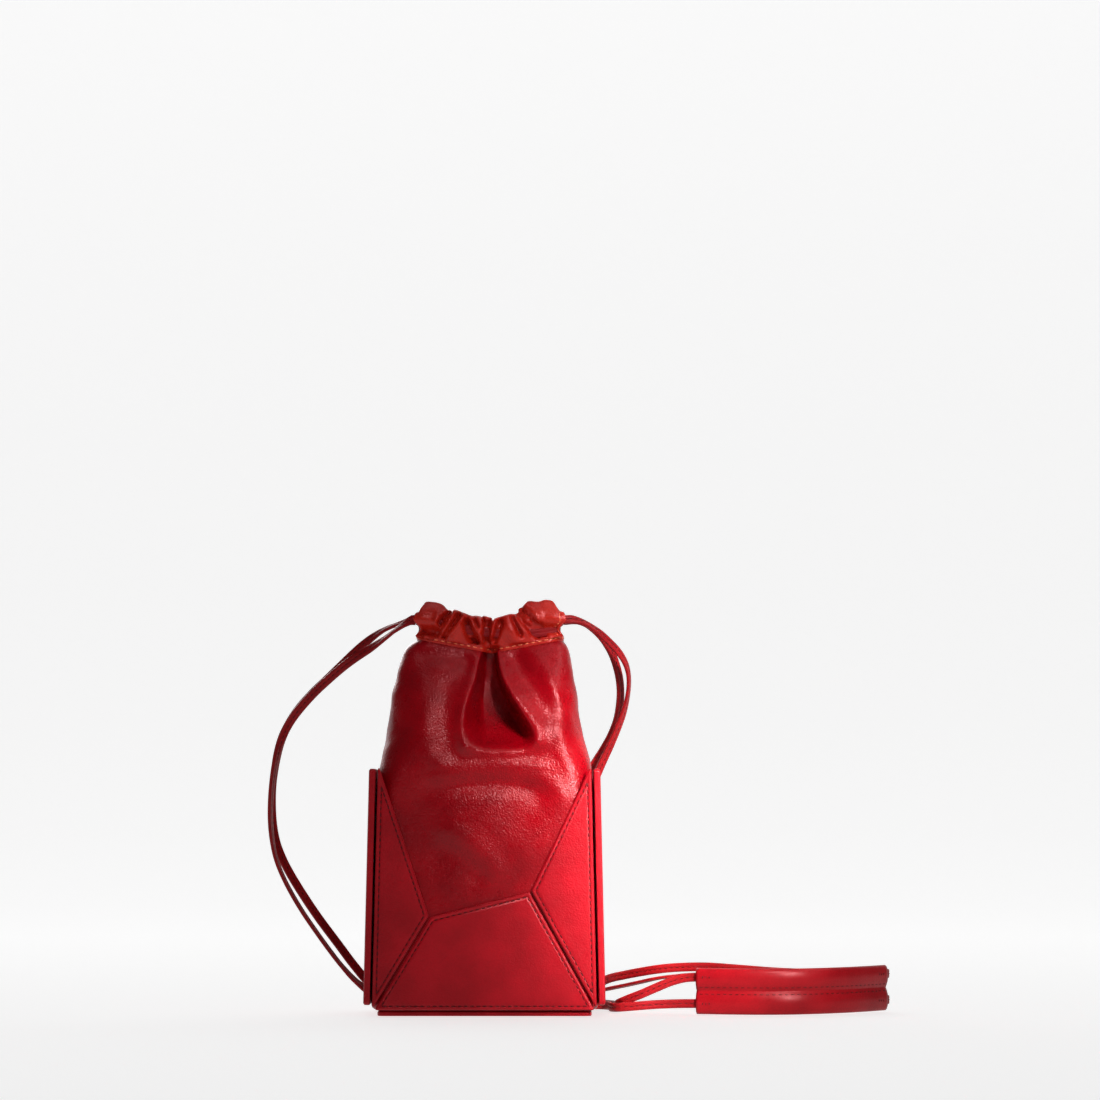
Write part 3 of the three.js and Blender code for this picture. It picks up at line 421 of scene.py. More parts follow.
LEFT_BACK_ROUTE = [
    (-0.0395, 0.0092, 0.2187, FRONT),
    (-0.0406, 0.0092, 0.2187, FRONT),
    (-0.043, 0.0093, 0.2184, (-0.2, -0.85, 0.5)),
    (-0.0466, 0.0098, 0.2175, (-0.4, -0.5, 0.8)),
    (-0.0517, 0.011, 0.216, (-0.35, -0.25, 0.9)),
    (-0.0574, 0.013, 0.2137, (-0.4, -0.4, 0.8)),
    (-0.0642, 0.016, 0.2094, (-0.35, -0.75, 0.55)),
    (-0.0722, 0.0195, 0.2029, (-0.1, -0.95, 0.2)),
    (-0.0803, 0.0225, 0.1954, FRONT),
    (-0.0895, 0.026, 0.1867, FRONT),
    (-0.0975, 0.029, 0.1793, FRONT),
    (-0.105, 0.0315, 0.1712, (0.15, -1, 0)),
    (-0.1102, 0.0335, 0.164, (0.3, -0.95, 0)),
    (-0.1142, 0.0352, 0.1567, (0.5, -0.85, 0)),
    (-0.117, 0.0368, 0.149, (0.65, -0.75, 0)),
    (-0.1193, 0.0386, 0.1387, (0.75, -0.65, 0)),
    (-0.121, 0.0404, 0.1273, (0.75, -0.65, 0)),
    (-0.1215, 0.042, 0.116, (0.7, -0.7, 0)),
    (-0.121, 0.0436, 0.1046, (0.6, -0.8, 0.1)),
    (-0.1192, 0.045, 0.0944, (0.5, -0.85, 0.15)),
    (-0.116, 0.0464, 0.0856, (0.4, -0.9, 0.2)),
    (-0.1108, 0.048, 0.0755, (0.4, -0.9, 0.2)),
    (-0.0978, 0.051, 0.055, (0.4, -0.9, 0.2)),
    (-0.0834, 0.0536, 0.0354, (0.4, -0.9, 0.2)),
    (-0.0758, 0.0548, 0.0252, (0.4, -0.9, 0.2)),
    (-0.067, 0.0556, 0.015, (0.3, -0.9, 0.2)),
    (-0.056, 0.056, 0.007, (0.1, -1, 0.1)),
    (-0.042, 0.0562, 0.0029, FRONT),
    (0, 0.0562, 0.0027, FRONT),
    (0.038, 0.0562, 0.0036, FRONT),
    (0.055, 0.054, 0.007, (0, -0.8, 0.5)),
    (0.063, 0.05, 0.0098, (-0.1, -0.4, 0.9)),
    (0.0689, 0.044, 0.0118, UP),
    (0.0778, 0.03, 0.0142, UP),
    (0.0866, 0.018, 0.0166, UP),
    (0.0954, 0.0096, 0.0189, UP),
    (0.1043, 0.005, 0.0203, UP),
    (0.114, 0.0016, 0.0206, (-0.1, -0.35, 0.9)),
    (0.126, -0.0032, 0.0186, (-0.1, -0.8, 0.6)),
    (0.144, -0.0086, 0.0128, FRONT),
    (0.166, -0.01, 0.009, FRONT),
    (0.186, -0.0042, 0.0078, (0.45, -0.9, 0)),
    (0.203, 0.0073, 0.0074, (0.65, -0.76, 0)),
    (0.212, 0.0162, 0.0072, (0.7, -0.7, 0)),
    (0.22, 0.0274, 0.0069, (0.74, -0.67, 0)),
    (0.2223, 0.0288, 0.0068, (0.07, -1, 0)),
    (0.2246, 0.0285, 0.0067, (-0.67, -0.74, 0)),
    (0.2257, 0.0268, 0.0066, (-1, -0.05, 0)),
    (0.2254, 0.0244, 0.0065, (-0.9, 0.4, 0)),
    (0.22385, 0.0224, 0.0065, (-0.74, 0.67, 0)),
]
RIGHT_FRONT_ROUTE = [
    (0.0437, -0.0068, 0.2187, FRONT),
    (0.0448, -0.0068, 0.2187, FRONT),
    (0.0474, -0.0067, 0.2189, (0.1, -0.9, 0.4)),
    (0.051, -0.0056, 0.2184, (0.3, -0.65, 0.7)),
    (0.0555, -0.0036, 0.2168, (0.35, -0.5, 0.8)),
    (0.0599, -0.0008, 0.2142, (0.4, -0.6, 0.7)),
    (0.0645, 0.0026, 0.2108, (0.45, -0.75, 0.5)),
    (0.0687, 0.006, 0.207, (0.5, -0.75, 0.4)),
    (0.0728, 0.0094, 0.203, (0.6, -0.7, 0.35)),
    (0.0762, 0.0126, 0.1988, (0.75, -0.6, 0.3)),
    (0.0788, 0.016, 0.1938, (0.85, -0.45, 0.2)),
    (0.0801, 0.0195, 0.1883, (0.95, -0.3, 0.1)),
    (0.0802, 0.023, 0.1819, (0.95, -0.3, 0)),
    (0.0792, 0.027, 0.1747, (0.9, -0.4, 0)),
    (0.077, 0.031, 0.1663, (0.8, -0.6, -0.1)),
    (0.0738, 0.035, 0.1579, (0.7, -0.7, -0.1)),
    (0.0699, 0.0395, 0.1489, (0.6, -0.8, -0.1)),
    (0.0654, 0.044, 0.1393, (0.5, -0.85, -0.1)),
    (0.061, 0.0484, 0.129, (0.3, -0.95, 0)),
    (0.0545, 0.053, 0.11, (0.2, -1, 0)),
    (0.045, 0.0566, 0.079, FRONT),
    (0.032, 0.0592, 0.046, FRONT),
    (0.017, 0.0608, 0.019, FRONT),
    (0.002, 0.0624, 0.0046, FRONT),
    (-0.011, 0.066, 0.0028, (-0.4, -0.9, 0)),
    (-0.018, 0.075, 0.0027, LEFT),
    (-0.012, 0.0846, 0.0027, (-0.5, 0.85, 0)),
    (0.002, 0.0884, 0.0027, BACK),
    (0.027, 0.0866, 0.0027, BACK),
    (0.049, 0.0786, 0.0027, (0.4, 0.9, 0)),
    (0.064, 0.064, 0.0027, (0.75, 0.65, 0)),
    (0.0718, 0.0476, 0.0027, (0.95, 0.25, 0)),
    (0.0734, 0.031, 0.0029, RIGHT),
    (0.0734, 0.017, 0.0044, (1, 0.1, 0)),
    (0.0758, 0.009, 0.0059, (0.8, 0.6, 0)),
    (0.0802, 0.0048, 0.0079, (0.5, 0.85, 0)),
    (0.0864, 0.0022, 0.0104, (0.3, 0.95, 0)),
    (0.095, 0.0002, 0.0142, (0.2, 1, 0)),
    (0.104, -0.0016, 0.0179, (0.2, 1, 0)),
    (0.111, -0.0034, 0.0197, (0.3, 0.95, 0)),
    (0.117, -0.0055, 0.0202, (0.36, 0.93, 0)),
]
RIGHT_BACK_ROUTE = [
    (0.0437, 0.0068, 0.2187, FRONT),
    (0.0448, 0.0068, 0.2187, FRONT),
    (0.0474, 0.007, 0.2189, (0.1, -0.9, 0.4)),
    (0.0511, 0.0082, 0.2186, (0.3, -0.65, 0.7)),
    (0.0556, 0.0104, 0.2168, (0.35, -0.5, 0.8)),
    (0.0601, 0.013, 0.2138, (0.4, -0.6, 0.7)),
    (0.0646, 0.016, 0.2099, (0.45, -0.75, 0.5)),
    (0.068, 0.019, 0.2055, (0.5, -0.8, 0.35)),
    (0.0709, 0.022, 0.2005, (0.55, -0.8, 0.2)),
    (0.0732, 0.025, 0.1944, (0.6, -0.8, 0.1)),
    (0.0749, 0.028, 0.1877, (0.6, -0.8, 0)),
    (0.0757, 0.0312, 0.1805, (0.6, -0.8, 0)),
    (0.0754, 0.0348, 0.1726, (0.55, -0.85, -0.05)),
    (0.074, 0.039, 0.1642, (0.5, -0.85, -0.1)),
    (0.071, 0.0436, 0.1558, (0.4, -0.9, -0.15)),
    (0.0664, 0.0484, 0.1473, (0.3, -0.9, -0.2)),
    (0.0606, 0.053, 0.138, (0.25, -0.95, -0.2)),
    (0.054, 0.0572, 0.124, (0.15, -1, -0.1)),
    (0.047, 0.0606, 0.105, FRONT),
    (0.038, 0.064, 0.078, FRONT),
    (0.0275, 0.0662, 0.048, FRONT),
    (0.016, 0.0674, 0.021, FRONT),
    (0.005, 0.0686, 0.0064, (-0.1, -1, 0)),
    (-0.005, 0.0714, 0.0029, (-0.5, -0.85, 0)),
    (-0.009, 0.076, 0.0027, LEFT),
    (-0.005, 0.0804, 0.0027, (-0.5, 0.85, 0)),
    (0.007, 0.0816, 0.0028, BACK),
    (0.027, 0.079, 0.0032, (0.15, 1, 0)),
    (0.045, 0.0704, 0.006, (0.5, 0.85, 0)),
    (0.058, 0.0586, 0.0116, (0.65, 0.75, 0.1)),
    (0.0689, 0.0448, 0.0174, (0.8, 0.6, 0.1)),
    (0.0778, 0.0324, 0.02, (0.8, 0.6, 0)),
    (0.0866, 0.0214, 0.0221, (0.75, 0.65, 0)),
    (0.0954, 0.0134, 0.0238, (0.6, 0.8, 0)),
    (0.1043, 0.0088, 0.0249, (0.45, 0.9, 0)),
    (0.1221, 0.0024, 0.0256, (0.4, 0.9, 0)),
    (0.1419, -0.0046, 0.0245, (0.3, 0.95, 0)),
    (0.1602, -0.008, 0.0232, BACK),
    (0.18, -0.0054, 0.0223, (-0.3, 0.95, 0)),
    (0.196, 0.0028, 0.0219, (-0.55, 0.83, 0)),
    (0.2114, 0.0156, 0.0217, (-0.7, 0.7, 0)),
    (0.22, 0.0274, 0.0215, (-0.74, 0.67, 0)),
    (0.2223, 0.0288, 0.0214, (-0.07, 1, 0)),
    (0.2246, 0.0285, 0.0213, (0.67, 0.74, 0)),
    (0.2257, 0.0268, 0.0212, (1, 0.05, 0)),
    (0.2254, 0.0244, 0.0211, (0.9, -0.4, 0)),
    (0.22385, 0.0224, 0.0211, (0.74, -0.67, 0)),
]
STRAP_LENGTHS = {
    "strap_left_front": 492,
    "strap_left_back": 608,
    "strap_right_front": 493,
    "strap_right_back": 566,
}  # measured along each route, in millimetres
print("straps:", STRAP_LENGTHS)

# %% Laying a strap along its route
STRAP_WIDTH = 5
STRAP_THICKNESS = 1.8
STITCH_PITCH = 3.4
STITCH_STANDS = 0.8  # from the strap's middle to its thread
LAST_STITCH = 2  # from the strap's end
STRAP_SECTION = [
    (1.9, 0.9), (0.9, 0.92), (0.35, 0.86), (0, 0.72), (-0.35, 0.86), (-0.9, 0.92), (-1.9, 0.9),
    (-2.35, 0.62), (-2.5, 0), (-2.35, -0.62), (-1.9, -0.9), (-0.9, -0.92), (-0.35, -0.86), (0, -0.72),
    (0.35, -0.86), (0.9, -0.92), (1.9, -0.9), (2.35, -0.62), (2.5, 0), (2.35, 0.62),
]  # fmt: skip


def smooth_route(rows, step=2.4):
    """One smooth curve through the rows, in millimetres: a point and a face direction every step."""
    points = [Vector(row[:3]) / MM for row in rows]
    faces = [Vector(row[3]).normalized() for row in rows]
    padded = [2 * points[0] - points[1], *points, 2 * points[-1] - points[-2]]
    route = []
    for i in range(len(points) - 1):
        a, b, c, d = padded[i : i + 4]
        t1 = (b - a).length ** 0.5
        t2 = t1 + (c - b).length ** 0.5
        t3 = t2 + (d - c).length ** 0.5
        parts = max(1, round((c - b).length / step))
        for k in range(parts):
            t = mix(t1, t2, k / parts)
            ab = a.lerp(b, t / t1)
            bc = b.lerp(c, (t - t1) / (t2 - t1))
            cd = c.lerp(d, (t - t2) / (t3 - t2))
            abc = ab.lerp(bc, t / t2)
            bcd = bc.lerp(cd, (t - t1) / (t3 - t1))
            route.append((abc.lerp(bcd, (t - t1) / (t2 - t1)), faces[i].lerp(faces[i + 1], k / parts)))
    route.append((points[-1], faces[-1]))
    return route


def stations_of(route):
    """A matrix at each point of the route: across the strap, out of its face, and along it."""
    made = []
    for i, (point, face) in enumerate(route):
        along = (route[min(i + 1, len(route) - 1)][0] - route[max(i - 1, 0)][0]).normalized()
        out = (face - along * face.dot(along)).normalized()
        across = out.cross(along)
        station = Matrix((across, out, along)).transposed().to_4x4()
        station.translation = point
        made.append(station)
    return made


def length_of(points):
    return sum((after - point).length for point, after in zip(points, points[1:]))


def make_strap(name, route):
    stations = stations_of(route)
    bm = bmesh.new()

    def place(column, row):
        across, out = STRAP_SECTION[column]
        return stations[row] @ Vector((across, out, 0))

    rolled_tube(bm, len(STRAP_SECTION), len(stations) - 1, place)
    ends = [edge for edge in bm.edges if edge.is_boundary]
    bmesh.ops.holes_fill(bm, edges=ends, sides=0)
    return finish_piece(name + "_leather", bm, strap_leather, name)


def stitch_strap(name, route):
    """One row of stitches down the middle of both faces."""
    stations = stations_of(route)
    points = [point for point, _ in route]
    pills = []
    for i, t in along_route(points, STITCH_PITCH, STITCH_PITCH, length_of(points) - LAST_STITCH):
        point = points[i].lerp(points[i + 1], t)
        along = stations[i].col[2].to_3d()
        out = stations[i].col[1].to_3d().lerp(stations[i + 1].col[1].to_3d(), t).normalized()
        pills.append(stitch(point + out * STITCH_STANDS, along, out, 2.2, 0.62, 0.36))
        pills.append(stitch(point - out * STITCH_STANDS, along, out, 2.2, 0.62, 0.36))
    return sew(name + "_stitches", pills, thread)


# %% The four free straps
free_straps = {}
for name, rows in (
    ("strap_left_front", LEFT_FRONT_ROUTE),
    ("strap_left_back", LEFT_BACK_ROUTE),
    ("strap_right_front", RIGHT_FRONT_ROUTE),
    ("strap_right_back", RIGHT_BACK_ROUTE),
):
    route = smooth_route(rows)
    free_straps[name] = (make_strap(name, route), stitch_strap(name, route), route)
    print(name, "is", round(length_of([point for point, _ in route])), "mm long")

# %% [markdown]
# ## The soft pouch
# A pouch like this is a flat-bottomed leather sack. It fills the cage of boards, then draws in to the
# gathered neck, and the slack leather falls into one deep valley below the neck, with a rounded lip at
# its foot. Cloth simulation would gather it somewhere else on every change, so the sack is a rolled
# grid that follows the solid's cross sections, and its folds are pressed in by code along chosen lines,
# as a sculptor's tool would do. A line is given by its corners, which are rounded before it is used.

# %% Cross sections of the pouch: height, left, right, depth and corner radius
BASE_WIDTH = 132.4
BASE_DEPTH = 82
BOARD_TOP = 135.4
BOARD_THICKNESS = 2.5
SIDE_BOARD_THICKNESS = 3.3
BOARD_LEAN = math.radians(1.25)
LEAN_IN = math.tan(BOARD_LEAN)
POUCH_FLOOR = 2.8
SKIN_SEAT = 0.45
NECK_CENTRE = 2.6
RIM_LOW = 201.5
RIM_RISE = 6.8
RIM_TOP = RIM_LOW + RIM_RISE
RIM_HALF_WIDTH = 39.6
CREASE_AT = 3.4
CREASE_DENT = 8
CREASE_WIDTH = 2.4
NECK_START = 169  # above this height the levels bend down to follow the rim


def boarded_level(z, draw_in, corner):
    half_x = BASE_WIDTH / 2 - SIDE_BOARD_THICKNESS - SKIN_SEAT - z * LEAN_IN - draw_in
    half_y = BASE_DEPTH / 2 - BOARD_THICKNESS - SKIN_SEAT - z * LEAN_IN - draw_in
    return (z, -half_x, half_x, half_y, corner)


POUCH_LEVELS = [
    boarded_level(POUCH_FLOOR, 3.4, 7),
    boarded_level(4.2, 0.8, 8),
    boarded_level(6.8, 0, 9),
    boarded_level(36, 0, 9),
    boarded_level(68, 0, 9),
    boarded_level(84, 0, 9),
    boarded_level(100, 0, 9),
    boarded_level(114, 0, 10),
    boarded_level(126, 0.1, 12),
    (134, -58.6, 58.9, 34.9, 14),
    (140, -57.6, 58.2, 34.8, 17),
    (147, -56.2, 56.1, 34.2, 20),
    (154, -54.9, 54.2, 33.0, 22),
    (161, -53.9, 52.8, 31.5, 22),
    (169, -52.9, 52.0, 29.2, 21),
    (177, -52.7, 51.6, 26.2, 19),
    (184.5, -51.2, 50.6, 22.6, 17),
    (191.5, -49.8, 49.8, 18.8, 14.5),
    (198, -47.4, 48.2, 15.0, 12),
    (203.5, -43.8, 46.2, 12.0, 9.8),
    (RIM_TOP, NECK_CENTRE - RIM_HALF_WIDTH, NECK_CENTRE + RIM_HALF_WIDTH, 10, 8.4),
]
print("pouch:", len(POUCH_LEVELS), "levels up to", RIM_TOP, "mm")

# %% Reading a table, and the rim's height


def read_off(table, at):
    """Reads a table of rows by its first column, on a smooth curve through its rows."""
    last = len(table) - 1
    i = 0
    while i < last - 1 and table[i + 1][0] < at:
        i += 1
    low, high = table[i], table[i + 1]
    span = high[0] - low[0]
    t = clamp((at - low[0]) / span)
    before, after = table[max(i - 1, 0)], table[min(i + 2, last)]
    made = [at]
    for k in range(1, len(low)):
        slope_low = (high[k] - before[k]) / (high[0] - before[0]) * span
        slope_high = (after[k] - low[k]) / (after[0] - low[0]) * span
        made.append(
            (2 * t**3 - 3 * t**2 + 1) * low[k]
            + (t**3 - 2 * t**2 + t) * slope_low
            + (3 * t**2 - 2 * t**3) * high[k]
            + (t**3 - t**2) * slope_high
        )
    return made


def rim_height(x):
    """Height of the pouch's top edge: lowest at the crease, rising to both sides."""
    return RIM_LOW + RIM_RISE * clamp(abs(x - CREASE_AT) / (RIM_HALF_WIDTH - 2)) ** 1.1


def crease_dent(x):
    """How far the crease presses in the casing's foot and the hem."""
    return CREASE_DENT * bell(x - CREASE_AT, CREASE_WIDTH)


print("rim:", rim_height(CREASE_AT), "mm at the crease")

# %% The valley below the neck: height, left edge, right edge and depth
VALLEY = [
    (143, -4.0, 24.0, 0),
    (146, -8.0, 26.0, 1.0),
    (150, -11.2, 28.4, 7.5),
    (155, -12.4, 28.0, 14.5),
    (162, -12.4, 24.2, 22.0),
    (170, -11.0, 18.8, 26.5),
    (178, -8.6, 13.8, 27.0),
    (186, -5.8, 9.8, 24.0),
    (194, -4.4, 7.6, 16.5),
    (201, -2.4, 7.0, 10.4),
    (209, -1.4, 7.4, 8.4),
]


LEFT_WALL = 0.34  # how far across the valley its left wall reaches its floor
RIGHT_WALL = 0.8  # and where its floor meets the right wall


def valley_depth(x, z):
    _, left, right, depth = read_off(VALLEY, clamp(z, VALLEY[0][0], VALLEY[-1][0]))
    left_foot = mix(left, right, LEFT_WALL)
    right_foot = mix(left, right, RIGHT_WALL)
    t = (x - left) / (left_foot - left) if x < left_foot else min(1, (right - x) / (right - right_foot))
    return max(depth, 0) * smooth(t)


print("valley:", round(valley_depth(CREASE_AT, 178), 1), "mm deep under the crease")

# %% Strokes of the modelling tool


def eased(strokes):
    """Strokes whose lines have their corners rounded, by cutting each corner twice."""
    made = []
    for height, width, line in strokes:
        for _ in range(2):
            cut = [line[0]]
            for (ax, az), (bx, bz) in zip(line, line[1:]):
                cut += [(mix(ax, bx, t), mix(az, bz, t)) for t in (0.25, 0.75)]
            line = cut + [line[-1]]
        made.append((height, width, line))
    return made


def distance_to_line(x, z, line):
    nearest = math.inf
    for (ax, az), (bx, bz) in zip(line, line[1:]):
        dx, dz = bx - ax, bz - az
        t = clamp(((x - ax) * dx + (z - az) * dz) / (dx * dx + dz * dz))
        nearest = min(nearest, math.hypot(x - ax - dx * t, z - az - dz * t))
    return nearest


def within_reach(x, z, line, reach):
    xs = [p[0] for p in line]
    zs = [p[1] for p in line]
    return min(xs) - reach < x < max(xs) + reach and min(zs) - reach < z < max(zs) + reach


def stroke_relief(x, z, strokes):
    total = 0.0
    for height, width, line in strokes:
        if within_reach(x, z, line, 3 * width):
            total += height * bell(distance_to_line(x, z, line), width)
    return total


# %% The pouch's strokes: height, width and the line they follow
LEFT_LIP = [
    (-4.6, 201), (-5, 192), (-7.6, 182), (-11.2, 172), (-13.4, 163), (-13.4, 155), (-10.5, 147.4),
]  # fmt: skip
FRONT_STROKES = [
    (2.2, 2.8, LEFT_LIP),
    (1.6, 2.8, [(-10, 146.5), (6, 144.4), (19, 145.6), (28, 149.5)]),
    (2.2, 3.4, [(8.6, 196), (11, 186), (16.4, 176), (23, 167), (28.6, 159), (31, 151)]),
    (2.6, 6.2, [(24, 203), (32, 192), (37.6, 182), (42.4, 170), (43.5, 156)]),
    (-2.6, 5, [(17, 197), (22, 187), (30, 177), (36, 167)]),
    (-1.8, 6, [(-22, 180), (-23, 165), (-22, 152), (-13, 143), (6, 141), (24, 142), (35, 148)]),
    (2.4, 3.6, [(-26, 132), (-8, 135.6), (14, 136), (28, 134), (37, 129), (43, 120), (45, 111)]),
    (-2.6, 4.5, [(-30, 124), (-10, 128), (12, 128.4), (25, 126), (32, 119), (35, 110)]),
    (-1.6, 7, [(-37, 198), (-40, 180), (-42, 160), (-44, 142)]),
    (1.0, 8, [(-22, 194), (-28, 180), (-32, 164), (-33, 146)]),
    (1.2, 2.4, [(-33, 204), (-20, 203.4), (-8, 201)]),
    (-1.3, 3, [(-34, 199.4), (-20, 198.6), (-10, 196)]),
]
FILLED_STROKES = [
    (1.6, 5, [(-18, 100), (-10, 95), (-1, 87), (5, 80)]),
    (-1.6, 5, [(-20, 91), (-10, 85), (-3, 78)]),
    (1.6, 7, [(41, 120), (38, 108), (31, 98), (24, 90)]),
    (-1.4, 7, [(-36, 114), (-32, 100), (-27, 86)]),
]
BACK_STROKES = [
    (-6, 6, [(-2, 204), (-3, 190), (-6, 176), (-9, 166)]),
    (1.8, 4.5, [(-14, 198), (-17, 182), (-22, 166)]),
    (1.6, 4.5, [(10, 198), (13, 182), (14, 168)]),
    (-3, 6, [(26, 198), (29, 180), (31, 164)]),
    (-1.6, 6, [(-30, 150), (-6, 143), (18, 144), (34, 151)]),
]


FRONT_STROKES, FILLED_STROKES, BACK_STROKES = map(eased, (FRONT_STROKES, FILLED_STROKES, BACK_STROKES))
print("strokes:", len(FRONT_STROKES + FILLED_STROKES + BACK_STROKES))

# %% Relief of the pouch's front and back
BULGE = 2.6  # where what is carried fills the window between the boards
BULGE_AT = (-1, 101)
BULGE_WIDTH = 16


def free_of_boards(z):
    return smooth((z - BOARD_TOP + 4) / 10)


def bulge_and_folds(x, z, bulge_x, strokes):
    bulge = BULGE * bell(math.hypot(x - bulge_x, z - BULGE_AT[1]), BULGE_WIDTH)
    return bulge, stroke_relief(x, z, strokes) * smooth((rim_height(x) - z) / 7)


def front_relief(x, z):
    bulge, folds = bulge_and_folds(x, z, BULGE_AT[0], FRONT_STROKES)
    filled = stroke_relief(x, z, FILLED_STROKES)
    loose = max(free_of_boards(z), bell(z - 124, 8) * bell(x, 24))
    return bulge + filled + folds * loose - valley_depth(x, z)


def back_relief(x, z):
    bulge, folds = bulge_and_folds(x, z, -BULGE_AT[0], BACK_STROKES)
    return bulge + folds * free_of_boards(z)


print("front relief at the middle of the window:", round(front_relief(*BULGE_AT), 2), "mm")

# %% Rolling the pouch
POUCH_COLUMNS = 288
ROW_STEP = 1.5
POUCH_HEIGHTS = [POUCH_FLOOR, 3.2, 3.8, 4.6, 5.6, 6.8, 10, 16, 22, 28, 34, 40, 46]
while POUCH_HEIGHTS[-1] < RIM_TOP - ROW_STEP:
    POUCH_HEIGHTS.append(POUCH_HEIGHTS[-1] + ROW_STEP)
POUCH_HEIGHTS[-1] = RIM_TOP
FRONT_CROWDING = 0.42  # the front gets more columns than the back
RUMPLE_MM = 9  # spacing of the soft unevenness that nappa keeps wherever it isn't pulled tight
TUCK = 2.5  # how far the sides are drawn in below the casing
TUCK_AT = 186


def pouch_point(column, row):
    """A point of the skin: the columns go round from the middle of the back, a quarter at a time."""
    even = column / POUCH_COLUMNS
    share = even + FRONT_CROWDING * math.sin(2 * math.pi * even) / (2 * math.pi)
    height, left, right, depth, corner = read_off(POUCH_LEVELS, POUCH_HEIGHTS[row])
    half_x = (right - left) / 2
    flat_x = half_x - corner
    flat_y = depth - corner
    arc = math.pi / 2 * corner
    part = int(share * 4) % 4
    within = share * 4 - int(share * 4)
    along = (flat_x + arc + flat_y) * (within if part % 2 == 0 else 1 - within)
    if along <= flat_x:
        x, y, out_x, out_y = along, depth, 0, 1
    elif along < flat_x + arc:
        angle = (along - flat_x) / corner
        out_x, out_y = math.sin(angle), math.cos(angle)
        x, y = flat_x + corner * out_x, flat_y + corner * out_y
    else:
        x, y, out_x, out_y = half_x, max(flat_y - (along - flat_x - arc), 0), 1, 0
    side_x = -1 if part < 2 else 1
    side_y = 1 if part in (0, 3) else -1
    x = (left + right) / 2 + side_x * x
    pull = smooth((height - NECK_START) / (RIM_TOP - NECK_START))
    z = height - pull * (RIM_TOP - rim_height(x))
    relief = front_relief(x, z) if side_y < 0 else back_relief(x, z)
    tuck = TUCK * bell(z - TUCK_AT, 9) * bell(y, 7)
    place = Vector((x - side_x * out_x * tuck, side_y * (y + relief * out_y), z))
    loose = mix(0.12, 0.45, free_of_boards(z)) * smooth((rim_height(x) - z) / 6)
    rumple = loose * noise.noise(place / RUMPLE_MM)
    return place + Vector((side_x * out_x, side_y * out_y, 0)) * rumple


bm = bmesh.new()
rolled_tube(bm, POUCH_COLUMNS, len(POUCH_HEIGHTS) - 1, pouch_point)
floor_edges = [edge for edge in bm.edges if edge.is_boundary and edge.verts[0].co.z < 10]
bmesh.ops.holes_fill(bm, edges=floor_edges, sides=0)
pouch = finish_piece("pouch_leather", bm, nappa, "pouch", crease=70)
thicken(pouch, 1.6)

# %% [markdown]
# ## The gathered casing
# The pouch's top edge is folded down and stitched into a casing for the straps, one tunnel in front and
# one behind. Drawn tight, the leather bunches into cord-like pleats at the middle and stays smooth and
# puffed at both ends, where nothing gathers it. Each tunnel is a rolled grid along X whose section
# swells and sinks with its pleats, which are strokes again, seen from the front. Its ends reach a little
# past the solid's, so that they close over the straps that come out of them.

# %% The tunnels' outline and section
TUNNEL_LEFT = -38.4
TUNNEL_RIGHT = 42.8
TUNNEL_DEPTH = 8
HOLLOW_HALF_WIDTH = 2.6
HOLLOW_HALF_HEIGHT = 5.8
TUNNEL_MID = 211.5
TUNNEL_RISE = 4.4
UPPER_EDGE = [
    (-38.4, 222.8), (-37.2, 226), (-33.2, 227.3), (-27.6, 227.1), (-23.7, 225.8), (-20.3, 223), (-17, 223.4),
    (-12, 221.8), (-7.6, 220.4), (-4.7, 220.4), (1.3, 219), (3.4, 218.6), (7.1, 219.6), (13.6, 221.2),
    (17.6, 221.6), (21.4, 225.8), (23.6, 227.5), (29.2, 227.4), (33.7, 228.2), (39.2, 225.6), (42.8, 222.8),
]  # fmt: skip
TUNNEL_SECTION = [
    (1.5, -10), (2.7, -8), (4.0, -4.5), (4.6, 0.5), (3.7, 5), (1.4, 8),
    (-1.4, 8), (-3.4, 5.4), (-3.9, 0), (-3.6, -4.8), (-1.6, -7.4), (-1.1, -10),
]  # fmt: skip
SECTION_TOP = 8
SECTION_FOOT = 10
print("casing:", round(TUNNEL_RIGHT - TUNNEL_LEFT, 1), "mm wide")

